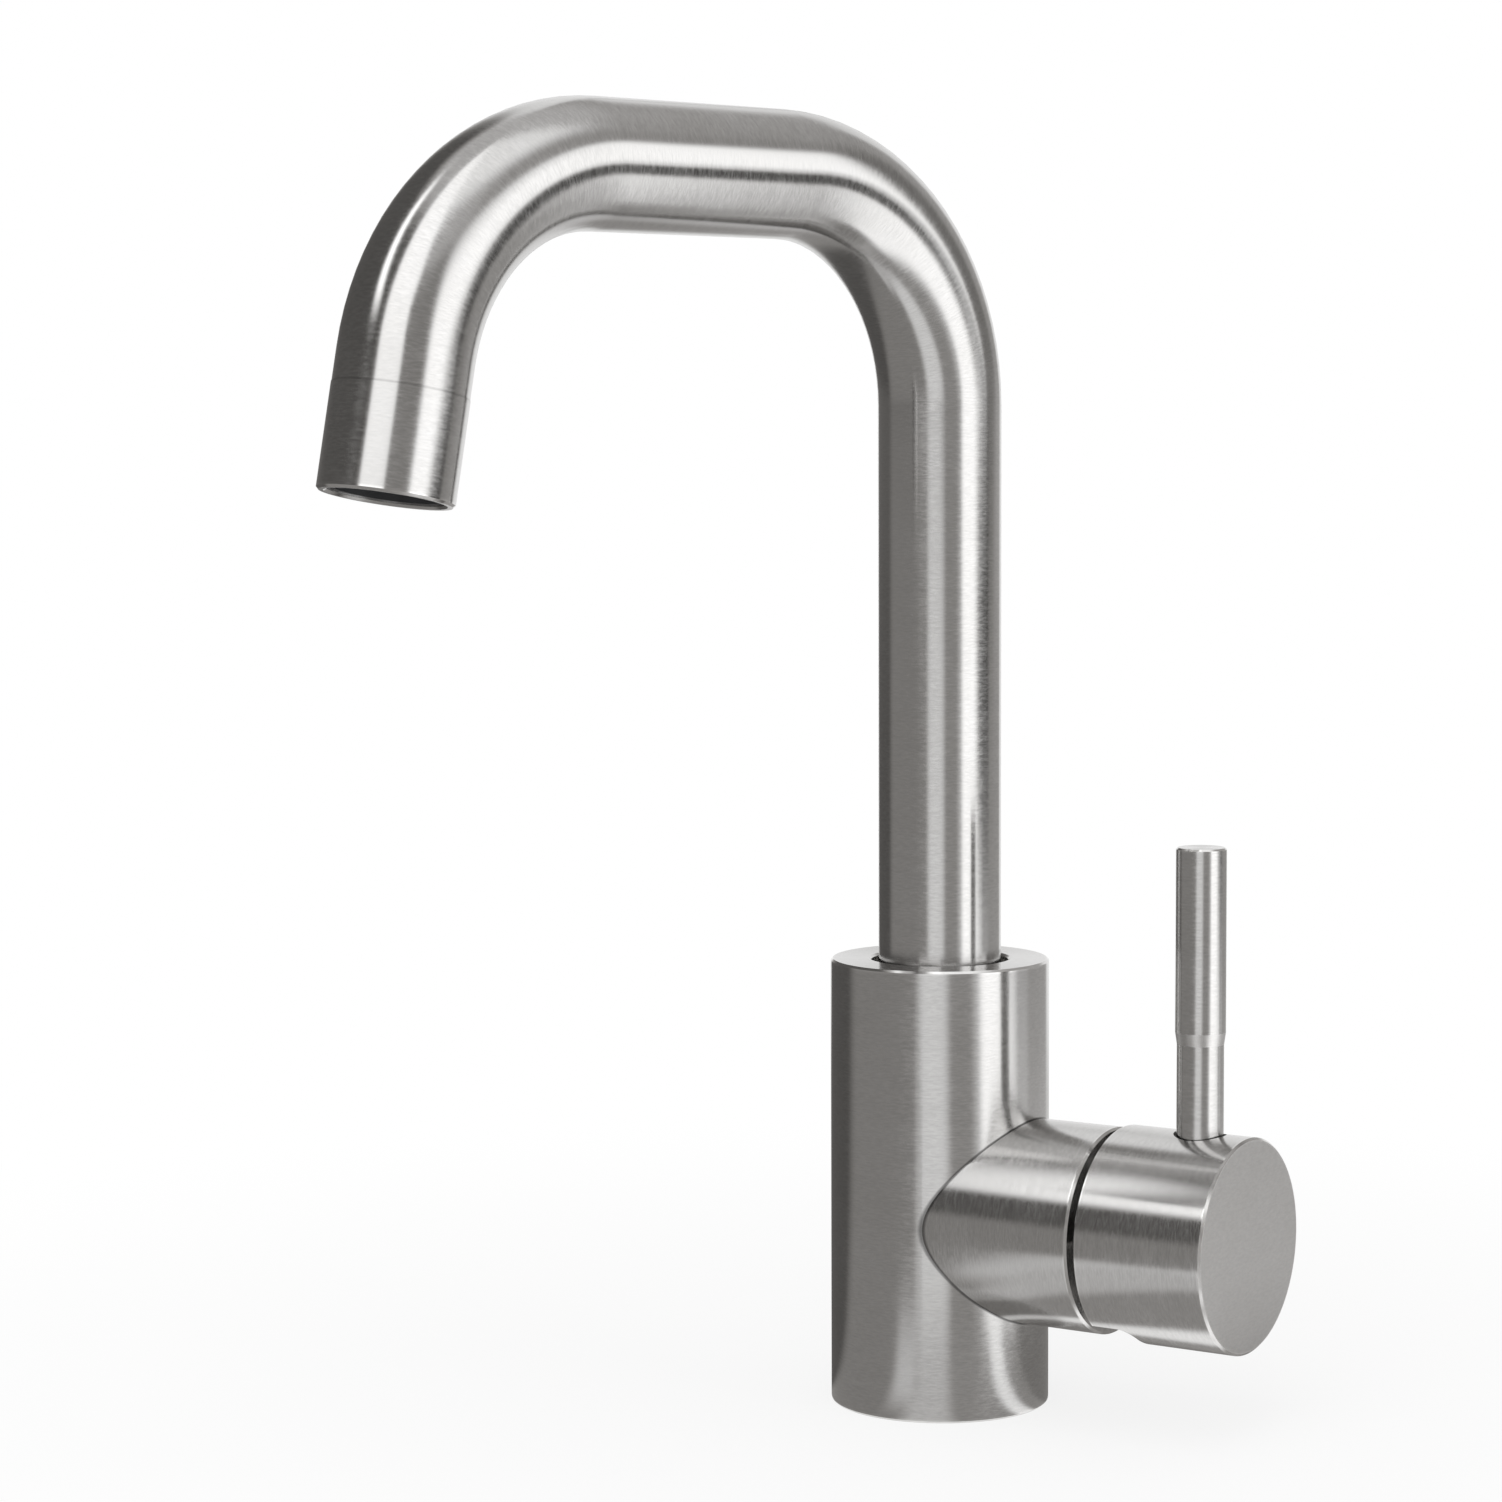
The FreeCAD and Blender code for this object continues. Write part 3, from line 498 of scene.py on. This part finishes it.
# %% [markdown]
# ### One recipe for every metal piece
#
# Colour, roughness and relief all come from the same two noises, fine dashes
# over broad strokes, because on the real piece one scratch changes all three.
# A third, slow noise clouds the tone a little, as handling does.

# %% The recipe for metal
STEEL = (0.60, 0.592, 0.580)
GRAIN_DEPTH = 1.0e-6            # height of the lines, in metres
STROKES = 0.22                  # share of broad strokes in the texture, the rest is dashes
WEAR_HIGHLIGHT_TONE = 0.22                # how much paler a painted highlight makes a worn edge, and how much smoother it is
WORN_SHINE = -0.07              # how much smoother a worn edge is
MATT_PAINTED_LIGHT = 0.16               # how much paler painted light makes a matt band, and how much rougher it is
FROST_DULL = 0.22               # how much rougher a matt band is


def no_mask(tree):
    """For a finish that is the same all over."""
    return 0.0


def metal(name, across, grain, wear_and_highlight=no_mask, shaded=no_mask, matt_and_lit=no_mask, relief=no_mask,
          tint=STEEL, rough=0.165, contrast=0.075, spread=0.72, skin=None):
    """Brushed or turned metal.

    across and grain give the direction across the lines and the stretched
    coordinates. The next three are masks: of worn edges, which are smoother and
    painted paler as highlights, of dark joint lines, with painted shade along the
    column's junction, and of matt bands, which are rougher and carry painted light
    that makes them paler. relief is a height in metres. skin is the way out of the
    surface, where a formula gives it better than the mesh.
    """
    material, tree = blank(name)
    cells = grain(tree)
    dashes = noise(tree, cells, 1.0, 3.0, Roughness=0.6)
    strokes = noise(tree, cells, 0.21, 2.0)
    clouds = noise(tree, from_point(tree, CENTRE), 55.0, 3.0)
    fine_part = numbers(tree, "MULTIPLY", dashes, 1.0 - STROKES)
    texture = numbers(tree, "MULTIPLY_ADD", strokes, STROKES, fine_part)
    tone = ramp(tree, texture, 0.28, 0.72, 1.0 - contrast, 1.0 + contrast)
    tone = numbers(tree, "MULTIPLY", tone, ramp(tree, clouds, 0.25, 0.75, 0.975, 1.02))
    edge = numbers(tree, "MULTIPLY", wear_and_highlight(tree), ramp(tree, strokes, 0.3, 0.6, 0.45, 1.0))
    matt_lit = matt_and_lit(tree)
    # painted highlight: worn edges are made paler
    tone = numbers(tree, "MULTIPLY_ADD", edge, WEAR_HIGHLIGHT_TONE, tone)
    # painted light: matt bands are made paler
    tone = numbers(tree, "MULTIPLY_ADD", matt_lit, MATT_PAINTED_LIGHT, tone)
    # dark joint lines, and the painted shade at the column's junction, darken the tone
    tone = numbers(tree, "MULTIPLY", tone, numbers(tree, "SUBTRACT", 1.0, shaded(tree)))
    cooler = (tint[0] * 0.99, tint[1] * 0.995, tint[2] * 1.01, 1)
    colour = between_colours(tree, clouds, tint + (1,), cooler)
    dull = ramp(tree, texture, 0.28, 0.72, rough - 0.03, rough + 0.04)
    dull = numbers(tree, "MULTIPLY_ADD", clouds, 0.03, dull)
    dull = numbers(tree, "MULTIPLY_ADD", edge, WORN_SHINE, dull)
    dull = numbers(tree, "MULTIPLY_ADD", matt_lit, FROST_DULL, dull)
    height = numbers(tree, "MULTIPLY_ADD", texture, GRAIN_DEPTH, relief(tree))
    ridges = raised(tree, height, skin(tree) if skin else None)
    tangent = add(tree, "VectorTransform", {0: across(tree)}, vector_type="VECTOR",
                  convert_from="OBJECT", convert_to="WORLD").outputs[0]
    shader = add(tree, "BsdfPrincipled", {
        "Base Color": scaled(tree, colour, tone), "Metallic": 1.0, "Roughness": dull,
        "Normal": ridges, "Anisotropic": spread, "Tangent": tangent})
    close(tree, shader.outputs[0])
    return material


def dress(material, *names):
    """Gives pieces of the frame their finish."""
    for name in names:
        nodes[name].data.materials.clear()
        nodes[name].data.materials.append(material)
    print(material.name, "on", ", ".join(names))


# %% [markdown]
# ## Threads, and worn edges with a painted highlight
#
# The holes for the hoses and the stud have cut threads, and so have the nut and
# the screws. Cutting them as geometry would cost thousands of faces that nobody
# sees, so a thread is a saw-toothed wave in the relief that climbs as it goes
# round. A worn edge, painted paler as a highlight, is a ring, given by its line and radius.

# %% Threads and rings
THREAD_SLOPE = 0.9              # how steeply a thread's flank rises


def thread(point, line, radius, depth, pitch):
    """Height of a screw thread in or on a round piece that starts at a point."""
    side = line.orthogonal().normalized()
    other = line.cross(side)

    def build(tree):
        place = from_point(tree, point)
        along, reach = height_and_radius(tree, point, line)
        angle = numbers(tree, "ARCTAN2", arrows(tree, "DOT_PRODUCT", place, tuple(other)),
                        arrows(tree, "DOT_PRODUCT", place, tuple(side)))
        turns = numbers(tree, "MULTIPLY_ADD", angle, 0.5 / math.pi, numbers(tree, "DIVIDE", along, pitch))
        wave = numbers(tree, "PINGPONG", turns, 0.5)
        inside = numbers(tree, "MULTIPLY", ramp(tree, reach, radius + 0.0006, radius + 0.0004),
                         ramp(tree, along, depth, depth - 0.001))
        return numbers(tree, "MULTIPLY", numbers(tree, "MULTIPLY", wave, inside), pitch * THREAD_SLOPE)
    return build


def all_of(*masks):
    """Several masks or heights added up."""
    def build(tree):
        total = masks[0](tree)
        for mask in masks[1:]:
            total = numbers(tree, "ADD", total, mask(tree))
        return total
    return build


def ring(point, line, radius, start=0.0004, end=0.0011):
    """Mask of a worn edge, painted paler as a highlight, at a ring round a line."""
    def build(tree):
        return near_ring(tree, point, line, radius, start, end)
    return build


# %% [markdown]
# ## The column and its branch
#
# Column and branch are one piece of steel, but each was brushed about its own
# line. A place belongs to the branch when it is farther from the column's axis
# than the column's skin. Where the two meet, a fine dark line of painted shade
# stands for the shadow in the crevice. The rims at the top, at the foot and at
# the branch's end are worn smoother and painted pale as highlights.

# %% Column and branch
SKIN = 0.00003                  # how far past the column's skin the branch begins
JUNCTION_SHADE = 0.62           # how dark the painted shade in the crevice between them is
PORT_BACK = -0.004              # hose ports: place along X, half their distance,
PORT_ASIDE = 0.0095
PORT_RADIUS = 0.0045            # bore, depth and pitch
PORT_DEPTH = 0.015
PORT_PITCH = 0.001
STUD_FORWARD = 0.008            # stud hole: place along X, bore, depth and pitch
STUD_RADIUS = 0.0034
STUD_DEPTH = 0.014
STUD_PITCH = 0.00125


def on_branch(tree):
    """1 on the branch and 0 on the column."""
    _, reach = height_and_radius(tree, CENTRE, UP)
    return numbers(tree, "GREATER_THAN", reach, column_radius + SKIN)


def either(column_part, branch_part):
    """One thing on the column and another on the branch."""
    def build(tree):
        return between_vectors(tree, on_branch(tree), column_part(tree), branch_part(tree))
    return build


def junction_painted_shade(tree):
    """Painted shade along the crevice where the branch leaves the column."""
    _, from_column = height_and_radius(tree, CENTRE, UP)
    _, from_branch = height_and_radius(tree, branch_point, OUT)
    one = numbers(tree, "SUBTRACT", from_column, column_radius)
    two = numbers(tree, "SUBTRACT", from_branch, branch_radius)
    line = ramp(tree, hypotenuse(tree, one, two), 0.00045, 0.0001, 0.0, JUNCTION_SHADE)
    forward = arrows(tree, "DOT_PRODUCT", from_point(tree, CENTRE), tuple(OUT))
    return numbers(tree, "MULTIPLY", numbers(tree, "GREATER_THAN", forward, 0.0), line)


port_threads = [thread(OUT * PORT_BACK + ACROSS * side * PORT_ASIDE, UP, PORT_RADIUS, PORT_DEPTH, PORT_PITCH)
                for side in (-1, 1)]
stud_thread = thread(OUT * STUD_FORWARD, UP, STUD_RADIUS, STUD_DEPTH, STUD_PITCH)
column_steel = metal(
    "column_steel",
    either(across_turning(CENTRE, UP), across_turning(branch_point, OUT)),
    either(turned_grain(CENTRE, UP), turned_grain(branch_point, OUT)),
    # rims worn smoother and painted paler as highlights
    wear_and_highlight=all_of(ring(UP * column_top, UP, column_radius), ring(CENTRE, UP, column_radius),
                ring(branch_point + OUT * branch_end, OUT, branch_radius)),
    shaded=junction_painted_shade, relief=all_of(stud_thread, *port_threads))
dress(column_steel, "body")

# %% [markdown]
# ## The bent spout
#
# The tube was brushed before it was bent, or with a belt that followed the
# bends, so its lines run round the tube everywhere. The direction across them
# is the tube's own centre line. Each place looks inside the arch for a point to
# turn about: level with it on the riser, straight below it along the run, and
# the bend's centre in a bend. The arm from that point to the place, turned a
# quarter, is the centre line's direction. The same arm gives the true way out of
# the round tube, so reflections flow smoothly from the straight stretches into
# the bends.

# %% Tube
across_run = UP.cross(run_line)


def tube_places(tree):
    """Distance aside from the arch's plane, the point to turn about, and the arm from it."""
    place = add(tree, "TexCoord").outputs["Object"]
    forth = arrows(tree, "DOT_PRODUCT", place, tuple(run_line))
    aside = arrows(tree, "DOT_PRODUCT", place, tuple(across_run))
    high = arrows(tree, "DOT_PRODUCT", place, tuple(UP))
    centre_forth = numbers(tree, "MINIMUM", numbers(tree, "MAXIMUM", forth, BEND), RUN_END)
    centre_high = numbers(tree, "MINIMUM", high, bend_height)
    return (aside, centre_forth, centre_high,
            numbers(tree, "SUBTRACT", forth, centre_forth), numbers(tree, "SUBTRACT", high, centre_high))


def across_bends(tree):
    """The centre line's direction: the arm turned a quarter."""
    _, _, _, arm_forth, arm_high = tube_places(tree)
    forth = scaled(tree, tuple(run_line), arm_high)
    down = scaled(tree, tuple(-UP), arm_forth)
    return arrows(tree, "NORMALIZE", arrows(tree, "ADD", forth, down))


def bent_grain(tree):
    """Coordinates that run quickly along the centre line, round both bends."""
    aside, centre_forth, centre_high, arm_forth, arm_high = tube_places(tree)
    turn = numbers(tree, "ARCTAN2", arm_high, numbers(tree, "MULTIPLY", arm_forth, -1.0))
    length = numbers(tree, "MULTIPLY_ADD", turn, BEND, numbers(tree, "ADD", centre_forth, centre_high))
    arm = hypotenuse(tree, arm_forth, arm_high)
    return add(tree, "CombineXYZ", {0: numbers(tree, "MULTIPLY", length, FINE),
                                    1: numbers(tree, "MULTIPLY", aside, SLOW),
                                    2: numbers(tree, "MULTIPLY", arm, SLOW)}).outputs[0]


bend_centre = run_line * RUN_END + UP * bend_height
NEARLY_ROUND = 0.9              # a face turned farther from the way out is one of the tube's ends


def tube_skin(tree):
    """The way out of the tube, true to its round section through both bends and down the leg."""
    normal = add(tree, "TexCoord").outputs["Normal"]
    aside, _, _, arm_forth, arm_high = tube_places(tree)
    arm = arrows(tree, "ADD", scaled(tree, tuple(run_line), arm_forth), scaled(tree, tuple(UP), arm_high))
    reach = arrows(tree, "LENGTH", arm)
    past_line = numbers(tree, "DIVIDE", numbers(tree, "SUBTRACT", reach, BEND), reach)
    bent = arrows(tree, "ADD", scaled(tree, tuple(across_run), aside), scaled(tree, arm, past_line))
    place = from_point(tree, mouth)
    down_leg = arrows(tree, "DOT_PRODUCT", place, tuple(outlet_line))
    straight = arrows(tree, "SUBTRACT", place, scaled(tree, tuple(outlet_line), down_leg))
    past_bend = numbers(tree, "GREATER_THAN",
                        arrows(tree, "DOT_PRODUCT", from_point(tree, bend_centre), tuple(outlet_line)), 0.0)
    on_leg = numbers(tree, "MULTIPLY", past_bend, numbers(tree, "GREATER_THAN", arm_forth, 0.0))
    out = arrows(tree, "NORMALIZE", between_vectors(tree, on_leg, bent, straight))
    facing = arrows(tree, "DOT_PRODUCT", out, normal)
    round_part = numbers(tree, "GREATER_THAN", numbers(tree, "ABSOLUTE", facing), NEARLY_ROUND)
    out = scaled(tree, out, numbers(tree, "SIGN", facing))
    chosen = between_vectors(tree, round_part, normal, out)
    return add(tree, "VectorTransform", {0: chosen}, vector_type="NORMAL",
               convert_from="OBJECT", convert_to="WORLD").outputs[0]


SLEEVE_LENGTH = 0.0218
SLEEVE_STEP = 0.0001            # how much the sleeve stands out past the tube
JOINT_SHADE = 0.20              # how dark the hair line between them is
sleeve_radius = tube_radius + SLEEVE_STEP
sleeve_top = mouth - outlet_line * SLEEVE_LENGTH


def joint_shade(tree):
    """The hair line where the sleeve meets the tube."""
    line = near_ring(tree, sleeve_top, outlet_line, sleeve_radius, 0.00012, 0.0004)
    return numbers(tree, "MULTIPLY", line, JOINT_SHADE)


spout_steel = metal("spout_steel", across_bends, bent_grain, shaded=joint_shade, skin=tube_skin)
dress(spout_steel, "spout_tube")

# %% [markdown]
# ## The outlet's sleeve
#
# A short turned sleeve is soldered over the tube's end and holds the aerator. Its
# joint is a hair line, and its mouth's rim is worn and painted bright as a thin
# highlight.

# %% Sleeve
outlet_steel = metal(
    "outlet_steel", across_turning(mouth, outlet_line), turned_grain(mouth, outlet_line),
    wear_and_highlight=ring(mouth, outlet_line, sleeve_radius, start=0.0005, end=0.0012), shaded=joint_shade)
dress(outlet_steel, "outlet_sleeve")

# %% [markdown]
# ## The cap
#
# The cap was turned about the handle's axis, but its flat end was finished on a
# flat belt, so the lines there run straight and the face has one even tone. That
# face is also rougher, and carries painted light that makes it paler.

# %% Cap
FACING = 0.97                   # a face turned this much towards the axis is the flat end
FLAT_BELT = 1500.0              # noise cells per metre across the flat end's lines


def cap_face(tree):
    """1 on the cap's flat end."""
    facing = arrows(tree, "DOT_PRODUCT", add(tree, "TexCoord").outputs["Normal"], tuple(OUT))
    return numbers(tree, "GREATER_THAN", facing, FACING)


def flat_or_turned(tree):
    """Straight lines on the flat end, turned lines elsewhere."""
    return between_vectors(tree, cap_face(tree), across_turning(handle_middle, OUT)(tree), tuple(UP))


def cap_grain(tree):
    """The flat end's own grain, or the turned one."""
    flat = arrows(tree, "MULTIPLY", from_point(tree, CENTRE), (SLOW, SLOW, FLAT_BELT))
    return between_vectors(tree, cap_face(tree), turned_grain(handle_middle, OUT)(tree), flat)


cap_steel = metal(
    "cap_steel", flat_or_turned, cap_grain,
    # the cap's rims are worn smoother and painted paler as highlights
    wear_and_highlight=all_of(ring(branch_point + OUT * cap_high.x, OUT, cap_radius),
                ring(branch_point + OUT * cap_low.x, OUT, cap_radius)),
    matt_and_lit=cap_face)
dress(cap_steel, "handle_cap")

# %% [markdown]
# ## The lever
#
# The lever was turned about its own line. Its taper was left matt and rougher,
# and painted light makes a pale band there below the grip.

# %% Lever
TAPER_EDGE = 0.0002             # half the width of the band's soft edge
taper_low = lever_top - 0.0435
taper_high = lever_top - 0.0408


def taper_band(tree):
    """1 on the lever's taper."""
    high = arrows(tree, "DOT_PRODUCT", from_point(tree, CENTRE), tuple(UP))
    return numbers(tree, "MULTIPLY", ramp(tree, high, taper_low - TAPER_EDGE, taper_low + TAPER_EDGE),
                   ramp(tree, high, taper_high + TAPER_EDGE, taper_high - TAPER_EDGE))


lever_steel = metal(
    "lever_steel", across_turning(lever_middle, UP), turned_grain(lever_middle, UP),
    # the grip's top rim is worn smoother and painted paler as a highlight
    wear_and_highlight=ring(lever_middle * (OUT + ACROSS) + UP * lever_top, UP, grip_radius, start=0.0003, end=0.0008),
    matt_and_lit=taper_band)
dress(lever_steel, "lever_rod")

# %% [markdown]
# ## Metal inside
#
# The union nut and the spout's nipple are turned from brass, the bonnet over the
# cartridge is satin steel, and the stem is ground square bar, so its lines run
# along it. The two screws are darker, oiled steel with cut threads. The same
# recipe makes them all, with another line, tint and roughness.

# %% Brass, bonnet, stem and screws
BRASS = (0.80, 0.61, 0.34)
DARK_STEEL = (0.24, 0.235, 0.23)
nut_low, nut_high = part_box("cartridge_nut")
nut_foot = branch_point + OUT * nut_low.x
nut_thread = thread(nut_foot, OUT, (nut_high.z - nut_low.z) / 2, depth=0.006, pitch=0.0015)
dress(metal("nut_brass", across_turning(nut_foot, OUT), turned_grain(nut_foot, OUT), relief=nut_thread,
            tint=BRASS, rough=0.21), "cartridge_nut")
dress(metal("nipple_brass", across_turning(CENTRE, UP), turned_grain(CENTRE, UP), tint=BRASS, rough=0.20),
      "spout_nipple")
bonnet_end = branch_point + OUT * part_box("bonnet_ring")[1].x
dress(metal("bonnet_steel", across_turning(nut_foot, OUT), turned_grain(nut_foot, OUT),
            # the bonnet's rim is worn smoother and painted paler as a highlight
            wear_and_highlight=ring(bonnet_end, OUT, radius=0.0095), rough=0.20), "bonnet_ring")


def ground_grain(tree):
    """Lines that run along the stem."""
    return arrows(tree, "MULTIPLY", from_point(tree, CENTRE), (SLOW * 0.5, FINE, FINE))


def across_ground(tree):
    """Direction across lines that run along the stem, on all four sides."""
    return arrows(tree, "CROSS_PRODUCT", add(tree, "TexCoord").outputs["Normal"], tuple(OUT))


dress(metal("stem_steel", across_ground, ground_grain, rough=0.16), "cartridge_stem")
pin_point = middle("pivot_pin")
dress(metal("pin_steel", across_turning(pin_point, ACROSS), turned_grain(pin_point, ACROSS), rough=0.12),
      "pivot_pin")
grub_foot = middle("handle_grub_screw") * (OUT + ACROSS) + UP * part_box("handle_grub_screw")[0].z
dress(metal("grub_screw_steel", across_turning(grub_foot, UP), turned_grain(grub_foot, UP),
            relief=thread(grub_foot, UP, radius=0.003, depth=0.0085, pitch=0.001),
            tint=DARK_STEEL, rough=0.26),
      "handle_grub_screw")
screw_low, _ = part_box("spout_retaining_screw")
screw_foot = middle("spout_retaining_screw") * (OUT + UP) + ACROSS * screw_low.y
dress(metal("retaining_screw_steel", across_turning(screw_foot, ACROSS), turned_grain(screw_foot, ACROSS),
            relief=thread(screw_foot, ACROSS, radius=0.0025, depth=0.014, pitch=0.0008),
            tint=DARK_STEEL, rough=0.26),
      "spout_retaining_screw")

# %% [markdown]
# ## Moulded plastic
#
# Moulded pieces take the fine sparked texture of their mould, are a little
# cloudy where the plastic flowed, and have a hair-thin raised line where the two
# halves of the mould met. The cartridge is pale acetal, its carrier and driver
# are darker and harder, the spout's bush and thrust ring are milky glide
# plastic, and the aerator is nearly black, as it looks from below.

# %% Plastic
SPARK_DEPTH = 4.0e-6            # height of the mould's texture, in metres
SEAM_HEIGHT = 1.2e-5            # and of the line where its halves met


def surfaced(material, colour, rough, height):
    """Finishes a material that isn't metal, from its colour, roughness and relief."""
    tree = material.node_tree
    shader = add(tree, "BsdfPrincipled", {"Base Color": colour, "Roughness": rough,
                                          "Normal": raised(tree, height)})
    close(tree, shader.outputs[0])
    return material


def moulded(name, colour, rough, parting, texture=2400.0):
    """Moulded plastic. parting is the direction square to the plane where the mould's halves met."""
    material, tree = blank(name)
    place = add(tree, "TexCoord").outputs["Object"]
    spark = noise(tree, place, texture, 2.0)
    flow = noise(tree, place, 90.0, 4.0, Distortion=0.8)
    pale = tuple(min(1.0, v * 1.10 + 0.004) for v in colour) + (1,)
    deep = tuple(v * 0.88 for v in colour) + (1,)
    cloudy = between_colours(tree, ramp(tree, flow, 0.3, 0.7), deep, pale)
    specks = between_colours(tree, ramp(tree, spark, 0.2, 0.8, 0.0, 0.35), cloudy, pale)
    line = numbers(tree, "ABSOLUTE", arrows(tree, "DOT_PRODUCT", place, tuple(parting)))
    seam = ramp(tree, line, 0.00012, 0.00003, 0.0, SEAM_HEIGHT)
    height = numbers(tree, "MULTIPLY_ADD", spark, SPARK_DEPTH, seam)
    dull = numbers(tree, "MULTIPLY_ADD", flow, 0.08, ramp(tree, spark, 0.2, 0.8, rough - 0.06, rough + 0.04))
    return surfaced(material, specks, dull, height)


dress(moulded("cartridge_plastic", (0.74, 0.73, 0.68), rough=0.40, parting=ACROSS),
      "cartridge_base", "cartridge_housing")
dress(moulded("carrier_plastic", (0.20, 0.21, 0.23), rough=0.34, parting=ACROSS),
      "disc_driver", "lever_carrier")
dress(moulded("glide_plastic", (0.80, 0.79, 0.75), rough=0.30, parting=ACROSS),
      "spout_thrust_ring", "spout_glide_bush")
dress(moulded("aerator_plastic", (0.030, 0.031, 0.033), rough=0.34, parting=across_run),
      "aerator_housing", "aerator_insert")
dress(moulded("screen_plastic", (0.11, 0.113, 0.118), rough=0.38, parting=across_run, texture=4200.0),
      "aerator_screen", "aerator_strainer")

# %% [markdown]
# ## Ceramic discs
#
# The two discs that meter the water are fired alumina. Their flat faces are
# lapped until they shine, and their rims stay matt and slightly grainy.

# %% Ceramic
def ceramic():
    """White alumina with lapped faces square to the handle's axis."""
    material, tree = blank("white_ceramic")
    coords = add(tree, "TexCoord").outputs
    grains = noise(tree, coords["Object"], 5200.0, 2.0)
    body = noise(tree, coords["Object"], 140.0, 3.0)
    facing = numbers(tree, "ABSOLUTE", arrows(tree, "DOT_PRODUCT", coords["Normal"], tuple(OUT)))
    lapped = ramp(tree, facing, 0.90, 0.97)
    tone = between_colours(tree, ramp(tree, body, 0.3, 0.7), (0.80, 0.79, 0.75, 1), (0.88, 0.875, 0.85, 1))
    specks = between_colours(tree, ramp(tree, grains, 0.62, 0.75, 0.0, 0.25), tone, (0.66, 0.65, 0.61, 1))
    rough = add(tree, "Mix", {0: lapped, 2: ramp(tree, grains, 0.2, 0.8, 0.42, 0.52),
                              3: ramp(tree, grains, 0.2, 0.8, 0.06, 0.12)}).outputs[0]
    depth = ramp(tree, lapped, 0.0, 1.0, 2.5e-6, 1.0e-7)
    return surfaced(material, specks, rough, numbers(tree, "MULTIPLY", grains, depth))


dress(ceramic(), "fixed_ceramic_disc", "moving_ceramic_disc")

# %% [markdown]
# ## Rubber seals
#
# Sealing rubber is nearly black, with a soft sheen and a thin pale bloom that
# comes out of it with time.

# %% Rubber
def rubber():
    """Black sealing rubber with a little bloom."""
    material, tree = blank("seal_rubber")
    place = add(tree, "TexCoord").outputs["Object"]
    grip = noise(tree, place, 3000.0, 2.0)
    bloom = noise(tree, place, 260.0, 5.0, Roughness=0.7)
    tone = between_colours(tree, ramp(tree, bloom, 0.45, 0.75, 0.0, 0.5),
                           (0.016, 0.016, 0.017, 1), (0.060, 0.060, 0.062, 1))
    rough = ramp(tree, bloom, 0.3, 0.8, 0.46, 0.68)
    return surfaced(material, tone, rough, numbers(tree, "MULTIPLY", grip, 5.0e-6))


seal_rubber = rubber()
dress(seal_rubber, "base_seal_ring", "cartridge_base_seals", "cartridge_disc_seals", "aerator_gasket",
      "lower_o_ring", "upper_o_ring")

# %% [markdown]
# ## O-rings
#
# The frame's two seals on the spout's nipple are coarse rings, so rounder ones
# take their place: a round section turned about the spout's axis, with the fine
# ridge that the two halves of a mould leave inside and outside.

# %% O-rings on the nipple
SECTION_POINTS = 24
UNDER_RIDGE = 0.985             # the section's radius beside the mould's ridge, as a share


def o_ring(name, node):
    """A round ring with a mould ridge, in the room of the frame's own ring."""
    low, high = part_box(node)
    section = (high.z - low.z) / 2
    centre_radius = high.x - section
    outline = []
    for step in range(SECTION_POINTS):
        angle = 2 * math.pi * step / SECTION_POINTS
        reach = section * (UNDER_RIDGE if step % (SECTION_POINTS // 2) else 1.0)
        outline.append((centre_radius + reach * math.cos(angle), reach * math.sin(angle)))
    piece = turned_mesh(name, outline, foot=UP * middle(node).z, closed=True)
    piece.data.materials.append(seal_rubber)
    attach(piece, "spout")
    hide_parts(node)
    print(name, "section", round(section * 2000, 2), "mm")
    return piece


o_ring("lower_round_seal", "lower_o_ring")
o_ring("upper_round_seal", "upper_o_ring")

# %% [markdown]
# ## Finish
#
# Finishes add nothing to the size, so the dressed faucet fills the same box as
# the solids. The colours are shown with the standard view transform.

# %% Finish
scene.view_settings.view_transform = "Standard"
